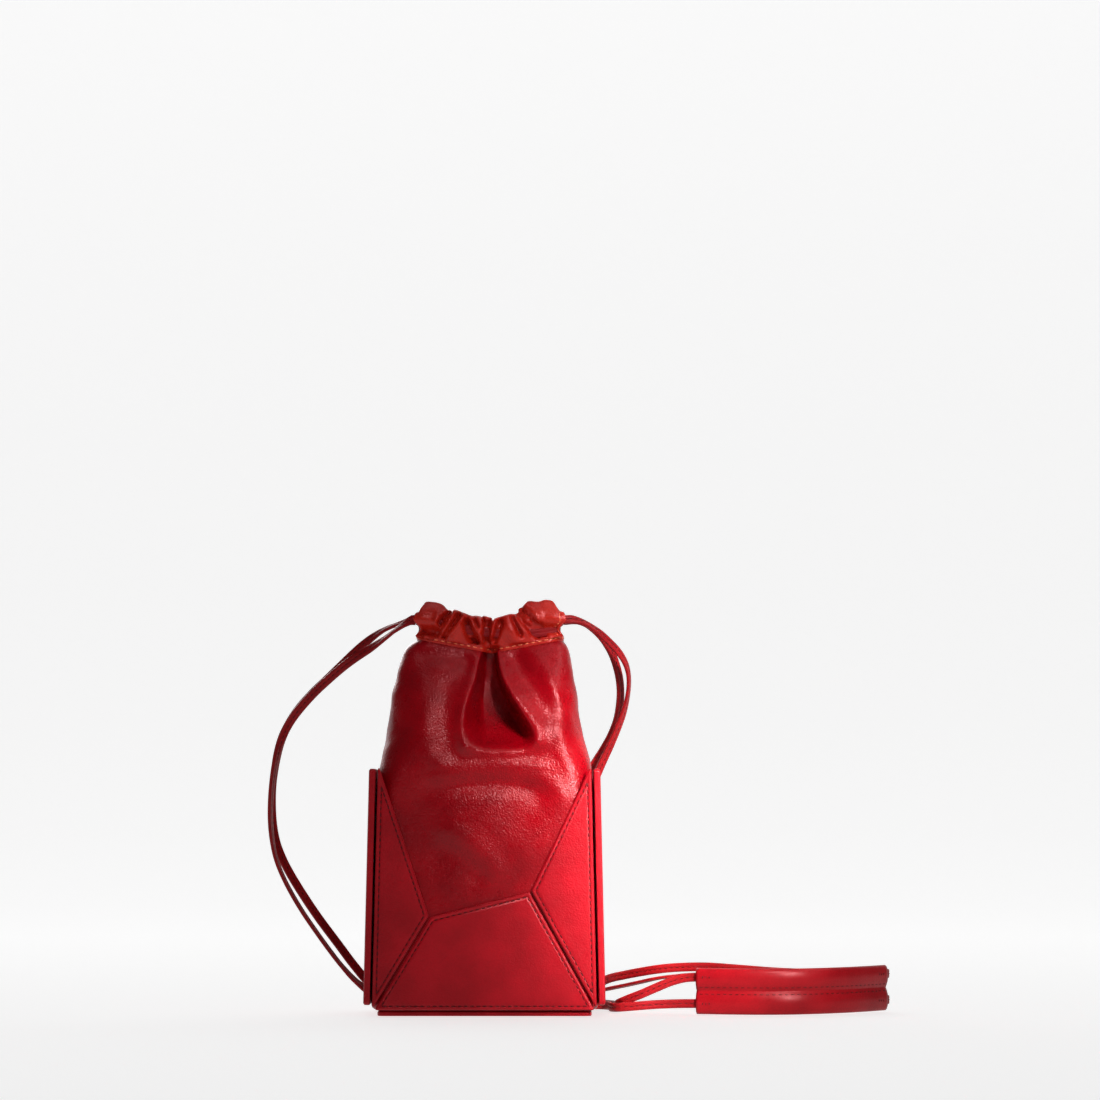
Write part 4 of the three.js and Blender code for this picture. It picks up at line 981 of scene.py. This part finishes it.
# %% The pleats: height, width and the line of each, seen from the front
PLEATS = [
    (1.5, 0.9, [(-21.1, 223.6), (-26.1, 220.4), (-28.6, 217), (-26.8, 214.3)]),
    (-2.9, 0.9, [(-20.1, 222.6), (-23.3, 219.8), (-25.6, 216.3)]),
    (2.3, 1.2, [(-17.2, 223), (-19.7, 217.7), (-21.8, 213.5), (-23.6, 210.6)]),
    (-3.4, 1.0, [(-14.7, 220.8), (-17.6, 216.6), (-20.1, 213.2), (-23.3, 208.9)]),
    (1.9, 1.5, [(-11.9, 221.6), (-15.4, 216.3), (-19.7, 211)]),
    (1.2, 3.2, [(-12.2, 217), (-15.5, 211), (-18.5, 205.6)]),
    (-4.0, 1.5, [(-10.1, 217), (-9.4, 212), (-7.6, 208.5), (-5.4, 205.9)]),
    (2.0, 1.1, [(-8.6, 219.6), (-6.2, 214.9), (-3.3, 210.6), (-1.9, 206.4)]),
    (-2.0, 0.7, [(-6.2, 218.2), (-4.4, 214.2)]),
    (1.5, 0.9, [(-4.4, 219.4), (-1.9, 214.9), (-0.7, 212)]),
    (-5.6, 1.3, [(0.9, 219.6), (0.6, 212), (0.7, 207), (1.6, 200)]),
    (2.6, 1.4, [(5.2, 218.4), (4.1, 213.5), (3.0, 209.3)]),
    (-3.4, 1.1, [(8.3, 217), (5.9, 209.3), (4.9, 206.6)]),
    (1.8, 3.4, [(11.5, 219), (14, 212), (18, 206)]),
    (-2.4, 0.9, [(14.8, 219.6), (17.6, 213.7), (19.4, 210)]),
    (1.5, 1.2, [(17, 220), (20, 215), (23.6, 211.6)]),
    (-2.3, 1.0, [(17.6, 221.2), (21.8, 215.2), (25.9, 210.8), (29.5, 208.8)]),
    (-2.0, 1.0, [(23.9, 215.2), (29.2, 211), (33, 209.2)]),
    (-2.8, 1.0, [(19.8, 224.2), (23.6, 221.4), (26.6, 217.6), (30, 215.2)]),
    (1.5, 1.7, [(22, 226), (25.4, 222.4), (28.4, 218.6)]),
    (-2.8, 1.8, [(28.1, 214), (35, 212.8), (42.6, 213)]),
    (-3.6, 1.7, [(-38, 212), (-32, 212), (-27, 211.4)]),
    (1.2, 3.6, [(-35, 221), (-27, 221.6)]),
    (1.3, 3.6, [(28, 221.6), (38, 221)]),
]
PLEATS = eased(PLEATS)
PLEAT_STRENGTH = 1.5
print("pleats:", len(PLEATS))

# %% Lanes of the tunnels, and a closed curve through a section's points
TUNNEL_ROWS = 168
TUNNEL_COLUMNS = 60
left_end = TUNNEL_LEFT - 1.8
right_end = TUNNEL_RIGHT + 2.1


def tunnel_height(x):
    half = NECK_CENTRE - TUNNEL_LEFT if x < NECK_CENTRE else TUNNEL_RIGHT - NECK_CENTRE
    return TUNNEL_MID + TUNNEL_RISE * clamp(abs(x - NECK_CENTRE) / half, 0, 1.2) ** 2


def round_loop(points, share):
    """A point on the smooth closed curve through the points."""
    count = len(points)
    at = share * count
    i = int(at)
    t = at - i
    a, b, c, d = (Vector((*points[(i + k) % count], 0)) for k in (-1, 0, 1, 2))
    return 0.5 * (2 * b + (c - a) * t + (2 * a - 5 * b + 4 * c - d) * t**2 + (3 * b - a - 3 * c + d) * t**3)


print("tunnel's middle:", tunnel_height(NECK_CENTRE), "mm up at the neck's centre")

# %% Shaping the casing: its crown, its foot, its pleats and its rounded ends
STRAP_CLEAR = 1.3  # a pleat over the straps' middle sinks hardly further in than this
SHORTENING = 3.4  # the inner wall ends this much before the outer one
END_ROUNDING = (3.4, 2.4)  # how far the left and the right end draw back at the crown
FOOT_FLARE = 1.7  # the foot stands this far out over the pouch
WAIST = (5, 4.2, 2.2)  # the ends draw in above the foot: how far, how high up and over what height
END_REACH = 9  # how far in from its ends the casing is rounded
WIDEST = 1.5  # above the tunnel's middle, where the rounding of the crown starts


def crown_height(x, side):
    """Height of the upper edge above the floor, with a puff near each end; the back one is lower."""
    puffs = 1.9 * bell(x - 39.6, 2.8) + 0.5 * bell(x + 36.4, 3.2)
    return read_off(UPPER_EDGE, x)[1] + puffs - (0.8 if side > 0 else 0)


def tunnel_point(side, column, row):
    """side -1 is the front tunnel; the back one has the same pleats the other way round."""
    x = mix(left_end, right_end, row / TUNNEL_ROWS)
    section = round_loop(TUNNEL_SECTION, column / TUNNEL_COLUMNS)
    out, up = section.x, section.y
    middle = tunnel_height(x)
    foot = rim_height(x) + SKIN_SEAT - middle
    crown = crown_height(x, side) - middle
    shortening = SHORTENING * clamp(0.5 - out / (2 * HOLLOW_HALF_WIDTH))
    foot_share = 0.0
    if out > 0:
        out *= 1 + 0.1 * max(bell(x - TUNNEL_LEFT, 9), bell(x - TUNNEL_RIGHT, 10))
    if up < -HOLLOW_HALF_HEIGHT:
        foot_share = clamp((-HOLLOW_HALF_HEIGHT - up) / (SECTION_FOOT - HOLLOW_HALF_HEIGHT))
        up = mix(-HOLLOW_HALF_HEIGHT - 0.6, foot, foot_share)
        out += foot_share * (FOOT_FLARE - (crease_dent(x) if side < 0 else 0))
    if up > HOLLOW_HALF_HEIGHT:
        up = mix(HOLLOW_HALF_HEIGHT, crown, (up - HOLLOW_HALF_HEIGHT) / (SECTION_TOP - HOLLOW_HALF_HEIGHT))
    z = middle + up
    seen_x = x if side < 0 else 2 * NECK_CENTRE - x
    facing = smooth((out + 1.2) / 2.4)
    pleat = PLEAT_STRENGTH * stroke_relief(seen_x, z, PLEATS) * clamp(1 - 0.8 * foot_share)
    out += pleat * mix(-0.25, 1, facing)
    if facing > 0.5 and abs(up) < STRAP_WIDTH / 2 + 1:
        out = max(out, STRAP_CLEAR + 0.1 * (out - STRAP_CLEAR))
    if up > WIDEST:
        above = clamp((up - WIDEST) / (crown - WIDEST))
        rounding = END_ROUNDING[0 if x < NECK_CENTRE else 1] * (1 - math.sqrt(1 - 0.98 * above**2))
    else:
        rounding = WAIST[0] * bell(up - foot - WAIST[1], WAIST[2]) + 1.6 * foot_share
    near_end = clamp(1 - min(x - left_end, right_end - x) / END_REACH)
    drawn_back = near_end * (shortening * (1 - foot_share) + rounding)
    return Vector((x - math.copysign(drawn_back, x - NECK_CENTRE), side * (TUNNEL_DEPTH + out), z))


# %% Rolling the two tunnels
for name, side in (("tunnel_front", -1), ("tunnel_back", 1)):
    bm = bmesh.new()
    rolled_tube(bm, TUNNEL_COLUMNS, TUNNEL_ROWS, lambda column, row: tunnel_point(side, column, row))
    bmesh.ops.smooth_vert(bm, verts=bm.verts, factor=0.2, use_axis_x=True, use_axis_y=True, use_axis_z=True)
    # The casing wears nappa made lighter and warmer as painted light.
    casing = finish_piece(name + "_casing", bm, casing_leather_painted_lit, name, crease=80)
    thicken(casing, 1.0)

# %% [markdown]
# ## The hem
# The casing is turned down over the pouch's edge and sewn, which leaves a narrow hem with a row of
# stitches all round the neck. The hem is a flat strip swept round the rim.

# %% The line round the rim
RIM_CORNER = 8.4
RIM_HALF_DEPTH = 10
HEM_STAND_OFF = 1.15


def rim_outline(stand_off, step=1.2):
    """Points round the pouch's rim, seen from above, with the way out."""
    half_x, half_y = RIM_HALF_WIDTH, RIM_HALF_DEPTH
    flat_x, flat_y = half_x - RIM_CORNER, half_y - RIM_CORNER
    made = []
    for centre_x, centre_y, start in (
        (flat_x, -flat_y, -90),
        (flat_x, flat_y, 0),
        (-flat_x, flat_y, 90),
        (-flat_x, -flat_y, 180),
    ):
        for k in range(9):
            angle = math.radians(start + 90 * k / 8)
            out = Vector((math.cos(angle), math.sin(angle)))
            made.append((Vector((centre_x, centre_y)) + out * (RIM_CORNER + stand_off), out))
    finer = []
    for i, (point, out) in enumerate(made):
        after, out_after = made[(i + 1) % len(made)]
        parts = max(1, round((after - point).length / step))
        for k in range(parts):
            finer.append((point.lerp(after, k / parts), out.lerp(out_after, k / parts).normalized()))
    return finer


def hem_point(flat, out, lift):
    x = NECK_CENTRE + flat.x
    dent = crease_dent(x) if out.y < -0.5 else 0
    return Vector((x, flat.y + dent, rim_height(x) + lift))


hem_line = rim_outline(HEM_STAND_OFF)
print("hem:", len(hem_line), "points round the rim")

# %% Rolling the hem and sewing it
HEM_STITCH_POINTS = 3
SIDE_SEAM_AT = 41.4  # a short upright row closes the casing's right end
HEM_SECTION = [
    (-0.1, -1.7), (0.2, -1.5), (0.34, -1.0), (0.28, -0.4), (0.12, 0.2), (0.3, 0.8), (0.24, 1.4), (-0.1, 1.8),
    (-0.6, 1.6), (-0.6, 0), (-0.6, -1.5),
]  # fmt: skip
bm = bmesh.new()


def hem_corner(column, row):
    flat, out = hem_line[row % len(hem_line)]
    stand, lift = HEM_SECTION[column]
    return hem_point(flat + out * stand, out, lift)


rolled_tube(bm, len(HEM_SECTION), len(hem_line), hem_corner)
# The hem wears the casing's nappa, made lighter and warmer as painted light.
finish_piece("neck_hem", bm, casing_leather_painted_lit, None, crease=80)
hem_pills = []
for i in range(0, len(hem_line), HEM_STITCH_POINTS):
    flat, out = hem_line[i]
    ahead, _ = hem_line[(i + 1) % len(hem_line)]
    here = hem_point(flat + out * 0.3, out, 0.2)
    there = hem_point(ahead + out * 0.3, out, 0.2)
    hem_pills.append(stitch(here, there - here, Vector((out.x, out.y, 0)), 2.3, 0.7, 0.5))
row = (SIDE_SEAM_AT - left_end) / (right_end - left_end) * TUNNEL_ROWS
for side in (-1, 1):
    for k in range(2 * TUNNEL_COLUMNS):
        section = round_loop(TUNNEL_SECTION, k / (2 * TUNNEL_COLUMNS))
        if k % 3 == 0 and section.x > 0.8 and abs(section.y) < 6:
            here = tunnel_point(side, k / 2, row)
            along = tunnel_point(side, k / 2 + 0.4, row) - here
            hem_pills.append(stitch(here, along, Vector((0.3, side, 0)), 1.5, 0.5, 0.4))
# The neck's stitches are light orange as a painted highlight of the lit hem.
sew("neck_hem_stitches", hem_pills, neck_thread_painted_highlight)

# %% [markdown]
# ## The stiff boards
# Each board is a thin stiffener wrapped in leather and stitched close to its edge, so its edges are
# round and its faces flat. A board starts as one flat face: its corners are rounded by a vertex bevel,
# the face is extruded to the board's thickness, and its rims get an edge bevel, which catches the light
# as the real turned edge does. The outer face is bridged inwards over the soft roll of the rim and the
# groove that the thread pulls in. A Weighted Normal modifier keeps the large faces evenly lit.

# %% Planes and outlines of the boards
BOARD_GAP = 1.3
BOARD_EDGE = 0.62
STITCH_MARGIN = 2.2
SEWN_RIM = [  # how far in from the edge, and how high: the soft roll, then the thread's groove
    (1.0, 0.32),
    (STITCH_MARGIN - 0.6, 0.2),
    (STITCH_MARGIN, -0.42),
    (STITCH_MARGIN + 0.6, 0.1),
    (STITCH_MARGIN + 1.6, 0.26),
]


def leaning_wall(turn, distance, thickness):
    """The plane of a wall's inner face: X to the right, Y up the board, Z outwards."""
    foot = -(distance - thickness / math.cos(BOARD_LEAN))
    stand = Matrix.Translation((0, foot, 0)) @ Matrix.Rotation(math.pi / 2 - BOARD_LEAN, 4, "X")
    return Matrix.Rotation(turn, 4, "Z") @ stand


def inset_outline(corners, distance):
    """Moves every side of a convex outline, listed anticlockwise, inwards."""
    sides = []
    for i, corner in enumerate(corners):
        along = (Vector(corners[(i + 1) % len(corners)]) - Vector(corner)).normalized()
        sides.append((Vector(corner) + Vector((-along.y, along.x)) * distance, along))
    made = []
    for i, (start, along) in enumerate(sides):
        start_before, along_before = sides[i - 1]
        gap = start - start_before
        reach = gap.cross(along) / along_before.cross(along)
        made.append(start_before + along_before * reach)
    return made


print("rim of a board:", [rise for _, rise in SEWN_RIM], "mm")

# %% Cutting and wrapping a board


def cut_board(name, wall, corners, radius, thickness):
    """A wrapped board in its wall's plane."""
    bm = bmesh.new()
    verts = [bm.verts.new((corner[0], corner[1], 0)) for corner in corners]
    bm.faces.new(verts)
    for i, vert in enumerate(verts):
        before = (Vector(corners[i - 1]) - Vector(corners[i])).normalized()
        after = (Vector(corners[(i + 1) % len(corners)]) - Vector(corners[i])).normalized()
        reach = radius / math.tan(before.angle(after) / 2)
        bmesh.ops.bevel(
            bm, geom=[vert], offset=reach, segments=6, profile=0.5, affect="VERTICES", material=-1
        )
    raised = bmesh.ops.extrude_face_region(bm, geom=bm.faces[:])["geom"]
    lifted = [item for item in raised if isinstance(item, bmesh.types.BMVert)]
    bmesh.ops.translate(bm, vec=(0, 0, thickness), verts=lifted)
    rims = [edge for edge in bm.edges if abs(edge.verts[0].co.z - edge.verts[1].co.z) < 1e-6]
    bmesh.ops.bevel(bm, geom=rims, offset=BOARD_EDGE, segments=4, profile=0.5, affect="EDGES", material=-1)
    bmesh.ops.remove_doubles(bm, verts=bm.verts, dist=1e-4)
    top = max(bm.faces, key=lambda face: face.calc_center_median().z + face.calc_area() * 1e-6)
    rim = list(top.edges)
    bmesh.ops.delete(bm, geom=[top], context="FACES_ONLY")
    for distance, rise in SEWN_RIM:
        inset = inset_outline(corners, distance)
        loop = [bm.verts.new((point.x, point.y, thickness + rise)) for point in inset]
        ring = [bm.edges.new((loop[i - 1], loop[i])) for i in range(len(loop))]
        bmesh.ops.bridge_loops(bm, edges=rim + ring)
        rim = ring
    bm.faces.new(loop)
    bmesh.ops.transform(bm, matrix=wall, verts=bm.verts)
    piece = finish_piece(name + "_wrapped", bm, board_leather, name, crease=60)
    lighting = piece.modifiers.new("even faces", "WEIGHTED_NORMAL")
    lighting.keep_sharp = True


# %% Topstitching round a board
THREAD_SINKS = 0.12


def topstitches(wall, corners, thickness):
    """Stitches along each side of a board's outer face, a whole number of them on a side."""
    pills = []
    out = wall.to_3x3() @ Vector((0, 0, 1))
    seam = inset_outline(corners, STITCH_MARGIN)
    for i, start in enumerate(seam):
        side = seam[(i + 1) % len(seam)] - start
        along = wall.to_3x3() @ Vector((side.x, side.y, 0))
        count = max(1, round(side.length / STITCH_PITCH))
        for k in range(count):
            point = start + side * ((k + 0.5) / count)
            place = wall @ Vector((point.x, point.y, thickness - THREAD_SINKS))
            pills.append(stitch(place, along, out, 2.5, 0.85, 0.5))
    return pills


print("stitches along a side:", round(BOARD_TOP / STITCH_PITCH))

# %% The boards of the front and the back, round a five-sided window
WINDOW_CORNER = 0.75
BASE_TOP = 3.3  # the lower board starts just above the base board
SEAM_FOOT = 1.2
LEFT_APEX = (-30, 54.6)
RIGHT_APEX = (25, 68.4)
WALL_TOP = BOARD_TOP / math.cos(BOARD_LEAN)


def wall_edge(height):
    return BASE_WIDTH / 2 - SIDE_BOARD_THICKNESS - BOARD_GAP / 2 - height * LEAN_IN


def along_seam(corner, apex, height):
    return (mix(corner[0], apex[0], (height - corner[1]) / (apex[1] - corner[1])), height)


corner_left = (-wall_edge(SEAM_FOOT), SEAM_FOOT)
corner_right = (wall_edge(SEAM_FOOT), SEAM_FOOT)
tip_left = WALL_TOP + 6.6
tip_right = WALL_TOP + 4.6
foot = BASE_TOP - BOARD_GAP / 2
WINDOW_BOARDS = {
    "left": [corner_left, LEFT_APEX, (-wall_edge(tip_left), tip_left)],
    "right": [corner_right, (wall_edge(tip_right), tip_right), RIGHT_APEX],
    "lower": [
        along_seam(corner_left, LEFT_APEX, foot),
        along_seam(corner_right, RIGHT_APEX, foot),
        RIGHT_APEX,
        LEFT_APEX,
    ],
}
board_pills = []
for side, turn in (("front", 0), ("back", math.pi)):
    wall = leaning_wall(turn, BASE_DEPTH / 2, BOARD_THICKNESS)
    for which, corners in WINDOW_BOARDS.items():
        outline = inset_outline(corners, BOARD_GAP / 2)
        cut_board(side + "_board_" + which, wall, outline, WINDOW_CORNER, BOARD_THICKNESS)
        board_pills += topstitches(wall, outline, BOARD_THICKNESS)

# %% The side boards and the base board
SIDE_FOOT = 6  # height of a side board's lower edge
SIDE_MARGIN = 0.3  # it is this much narrower on each side than the case is deep


def board_corners(half_foot, foot, half_top, top):
    return [(-half_foot, foot), (half_foot, foot), (half_top, top), (-half_top, top)]


half_foot, half_top = (BASE_DEPTH / 2 - SIDE_MARGIN - z * LEAN_IN for z in (SIDE_FOOT, WALL_TOP))
side_corners = board_corners(half_foot, SIDE_FOOT, half_top, WALL_TOP)
for name, turn in (("side_board_left", -math.pi / 2), ("side_board_right", math.pi / 2)):
    wall = leaning_wall(turn, BASE_WIDTH / 2, SIDE_BOARD_THICKNESS)
    cut_board(name, wall, side_corners, 2.2, SIDE_BOARD_THICKNESS)
    board_pills += topstitches(wall, side_corners, SIDE_BOARD_THICKNESS)

half_width = BASE_WIDTH / 2 - 7.4  # the base board stands inside the others
half_depth = BASE_DEPTH / 2 - 3.6
base_corners = board_corners(half_width, -half_depth, half_width, half_depth)
cut_board("base_board", Matrix.Identity(4), base_corners, 4, BOARD_THICKNESS)
sew("board_topstitching", board_pills, thread)

# %% [markdown]
# ## The shoulder pad
# The pad is one piece of leather folded into two flat tunnels with a stitched groove between them, and
# one strap runs through each. It stands on its long edge, bent in a shallow curve. The section is a
# closed curve with a waist at the groove, rolled along the pad's line and given a skin by Solidify, so
# the straps are seen going into its open ends.

# %% The pad's line and section
PAD_LINE = [
    (0.1175, -0.0057, 0), (0.132, -0.0115, 0), (0.150, -0.016, 0), (0.168, -0.0165, 0.0001),
    (0.186, -0.0105, 0.0003), (0.202, 0, 0.0005), (0.214, 0.0115, 0.0007), (0.2235, 0.022, 0.0009),
]  # fmt: skip
PAD_SIDE = [
    (0.8, 0), (2.0, 1.9), (2.6, 5.6), (2.3, 8.8), (1.4, 11.6), (0.9, 12.8), (1.4, 14.0),
    (2.3, 16.6), (2.6, 20.2), (2.0, 23.3), (0.8, 25),
]  # fmt: skip
PAD_SECTION = PAD_SIDE + [(-out, up) for out, up in reversed(PAD_SIDE)]
PAD_COLUMNS = 72
PAD_LANES = (5.6, 20.2)  # height of each tunnel's middle


def level_stations(points):
    """Upright stations: out to the side, up, and along the line."""
    made = []
    for i, point in enumerate(points):
        along = points[min(i + 1, len(points) - 1)] - points[max(i - 1, 0)]
        along = Vector((along.x, along.y, 0)).normalized()
        out = Vector((-along.y, along.x, 0))
        station = Matrix((out, Vector(UP), along)).transposed().to_4x4()
        station.translation = point
        made.append(station)
    return made


def pad_line(lift=0, step=2.4):
    """The pad's line, raised by a lift in millimetres, as points a step apart."""
    rows = [(x, y, z + lift * MM, FRONT) for x, y, z in PAD_LINE]
    return [point for point, _ in smooth_route(rows, step)]


pad_points = pad_line(step=1.6)
print("pad:", round(length_of(pad_points)), "mm long")

# %% Rolling the pad
pad_stations = level_stations(pad_points)


def pad_point(column, row):
    section = round_loop(PAD_SECTION, column / PAD_COLUMNS)
    return pad_stations[row] @ Vector((section.x, section.y, 0))


bm = bmesh.new()
rolled_tube(bm, PAD_COLUMNS, len(pad_stations) - 1, pad_point)
pad = finish_piece("shoulder_pad_leather", bm, pad_leather, "shoulder_pad", crease=80)
thicken(pad, 0.8)

# %% Stitches of the pad: a row on each side of the groove and a bar tack near each end of the tunnels
PAD_ROWS = (10.9, 14.7)
pad_pills = []
for i, t in along_route(pad_points, STITCH_PITCH, 3.0, math.inf):
    station = pad_stations[i].lerp(pad_stations[i + 1], t)
    for face in (-1, 1):
        for up in PAD_ROWS:
            place = station @ Vector((face * 1.62, up, 0))
            out = station.col[0].to_3d() * face
            pad_pills.append(stitch(place, station.col[2].to_3d(), out, 2.3, 0.6, 0.5))
for station in (pad_stations[4], pad_stations[-5]):
    for face in (-1, 1):
        for lane in PAD_LANES:
            for k in (-1, 0, 1):
                place = station @ Vector((face * 2.62, lane, 2.0 * k))
                pad_pills.append(stitch(place, Vector(UP), station.col[0].to_3d() * face, 1.5, 0.6, 0.4))
pad_thread = sew("shoulder_pad_stitches", pad_pills, thread)

# %% Straps inside the pad
for name, lane in zip(("strap_in_pad_lower", "strap_in_pad_upper"), PAD_LANES):
    points = pad_line(lane)
    make_strap(name, [(station.translation, station.col[0].to_3d()) for station in level_stations(points)])

# %% [markdown]
# ## The straps inside the casing
# Each strap goes in at one end of the front tunnel, round the far end and back through the rear one.
# The two change places in height on the way, so that each turns back below the other's exit.

# %% Running the straps through the casing
LANE_LIFT = 2.85  # a strap comes in this far above the tunnel's middle


def inside_route(start, wall_end, offset, sink):
    """In at start, round the far end of the front tunnel's inner wall, and back behind it."""
    outward = math.copysign(1, wall_end - start)
    end = wall_end - outward * 2.2
    turn = wall_end + outward * (0.6 + STRAP_THICKNESS / 2)

    def lane(x):
        return tunnel_height(x) + mix(LANE_LIFT, -sink, smooth((x - start) / (end - start)))

    straight = outward * 0.9
    half_way = [(start, lane(start + straight))]
    for i in range(11):
        x = mix(start + straight, end, i / 10)
        half_way.append((x, lane(x)))
    low = tunnel_height(turn) - sink
    turning = [
        (turn - outward * 0.9, 0.3 - offset, (0.5 * outward, -0.85, 0)),
        (turn - outward * 0.2, 1.5 - offset, (0.93 * outward, -0.35, 0)),
        (turn, 3 - offset, (outward, 0, 0)),
    ]
    rows = [(x, -offset, z, FRONT) for x, z in half_way]
    rows += [(x, y, low, face) for x, y, face in turning]
    rows += [(x, -y, low, (face[0], -face[1], 0)) for x, y, face in reversed(turning)]
    rows += [(x, offset, z, BACK) for x, z in reversed(half_way)]
    return [(x * MM, y * MM, z * MM, face) for x, y, z, face in rows]


for name, start, wall_end, offset, sink in (
    ("drawstring_left_inside", -39.2, TUNNEL_RIGHT - 3.4, TUNNEL_DEPTH + 1.2, 2.5),
    ("drawstring_right_inside", 43.4, TUNNEL_LEFT + 3.4, TUNNEL_DEPTH - 1.2, 2),
):
    make_strap(name, smooth_route(inside_route(start, wall_end, offset, sink)))

# %% [markdown]
# ## The strap ends and the pad
# The pad is hardly filled. Each free end of a strap has the length of its route, and goes into the
# shoulder pad, which lies on the floor. Each end's stitches are listed with it, and the pad, its thread
# and the straps inside it are listed with one of them.

# %% The pad and the cords
for name, millimetres in STRAP_LENGTHS.items():
    strap, stitches, route = free_straps[name]
    carried = [stitches]
    if name == "strap_left_back":
        carried += [pad, pad_thread, "strap_in_pad_lower_leather", "strap_in_pad_upper_leather"]
print("cords:", len(STRAP_LENGTHS))

# %% [markdown]
# ## Studio
# The photograph is a catalogue shot: a pale seamless sweep, a narrow key light from the front right that
# draws the highlights on the folds, and just enough fill to read the dark side. The sweep and the floor
# are one bent sheet of matt paper, which glows a little, so that the bag's light doesn't have to reach
# it. The bag's lamps are linked to its own pieces for the same reason. The air is pale only where the
# camera looks straight at it, so that every view has the same background.

# %% The sweep
FLOOR_FRONT = -4.0
BEND_FROM = 1.6
BEND_RADIUS = 1.2
SWEEP_TOP = 4.5
SWEEP_HALF_WIDTH = 4.0
FLOOR_DROP = 0.0004  # the straps lie up to 0.35 mm below the boards' foot
PART = 8  # rows of faces in each of the floor, the bend and the wall

sweep = bmesh.new()
bmesh.ops.create_grid(sweep, x_segments=2, y_segments=3 * PART, size=1)
for vert in sweep.verts:
    t = (vert.co.y + 1) / 2 * 3 * PART
    vert.co.x *= SWEEP_HALF_WIDTH
    if t <= PART:
        vert.co.y, vert.co.z = mix(FLOOR_FRONT, BEND_FROM, t / PART), 0
    elif t <= 2 * PART:
        angle = (t - PART) / PART * math.pi / 2
        vert.co.y = BEND_FROM + BEND_RADIUS * math.sin(angle)
        vert.co.z = BEND_RADIUS - BEND_RADIUS * math.cos(angle)
    else:
        vert.co.y = BEND_FROM + BEND_RADIUS
        vert.co.z = mix(BEND_RADIUS, SWEEP_TOP, (t - 2 * PART) / PART)
bmesh.ops.translate(sweep, vec=(0, 0, -FLOOR_DROP), verts=sweep.verts)
sweep_mesh = bpy.data.meshes.new("studio_sweep")
sweep.to_mesh(sweep_mesh)
sweep.free()
sweep_mesh.polygons.foreach_set("use_smooth", [True] * len(sweep_mesh.polygons))
studio_sweep = bpy.data.objects.new("studio_sweep", sweep_mesh)
bpy.context.scene.collection.objects.link(studio_sweep)
studio_sweep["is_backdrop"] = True
print("sweep:", len(sweep_mesh.polygons), "faces")

# %% Matt paper
paper, _, paper_shader = start_material("matt_paper", 0.1)
paper_shader.inputs["Base Color"].default_value = linear("#c8c8c8")
paper_shader.inputs["Roughness"].default_value = 0.9
paper_shader.inputs["Emission Color"].default_value = linear("#ffffff")
paper_shader.inputs["Emission Strength"].default_value = 0.72
sweep_mesh.materials.append(paper)
print("paper:", paper.name)

# %% Lights: place, target, size in metres, watts, and the spread of the beam in degrees


def softbox(name, place, target, size, watts, spread):
    light_data = bpy.data.lights.new(name, "AREA")
    light_data.shape = "RECTANGLE"
    light_data.size, light_data.size_y = size
    light_data.energy = watts
    light_data.spread = math.radians(spread)
    light = bpy.data.objects.new(name, light_data)
    aim(light, place, target)
    return light


BAG_MIDDLE = (0.03, -0.03, 0.11)
bag_lights = [
    softbox("key softbox", (0.45, -0.75, 0.45), (0.13, -0.04, 0.13), (0.10, 0.16), 0.27, 14),
    softbox("edge softbox", (0.45, -0.75, 0.45), (0.10, -0.04, 0.09), (0.04, 0.16), 0.1, 9),
    softbox("high softbox", (0.25, -0.80, 0.75), (0.10, -0.04, 0.14), (0.12, 0.12), 0.14, 18),
    softbox("top softbox", (0.05, -0.25, 1.0), BAG_MIDDLE, (0.4, 0.3), 0.3, 120),
    softbox("side softbox", (0.55, -0.15, 0.75), BAG_MIDDLE, (0.3, 0.3), 0.55, 120),
    softbox("back softbox", (-0.40, 0.90, 0.60), BAG_MIDDLE, (0.5, 0.5), 1.6, 120),
]
softbox("sweep light", (0, 1.0, 3.0), (0, 2.4, 0.4), (3.0, 1.6), 3, 150)
bag_pieces = bpy.data.collections.new("bag pieces")
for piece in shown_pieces():
    bag_pieces.objects.link(piece)
for light in bag_lights:
    light.light_linking.receiver_collection = bag_pieces
print("lights:", len(bpy.data.lights))

# %% Air
world = bpy.data.worlds.new("studio air")
world.use_nodes = True
background = world.node_tree.nodes["Background"]
background.inputs["Color"].default_value = linear("#ffffff")
seen = add_node(world.node_tree, "ShaderNodeLightPath").outputs["Is Camera Ray"]
air = add_node(world.node_tree, "ShaderNodeMapRange", {"Value": seen, "To Min": 0.1, "To Max": 0.88})
world.node_tree.links.new(air.outputs["Result"], background.inputs["Strength"])
bpy.context.scene.world = world
bpy.context.scene.view_settings.view_transform = "Standard"
print("world:", world.name)
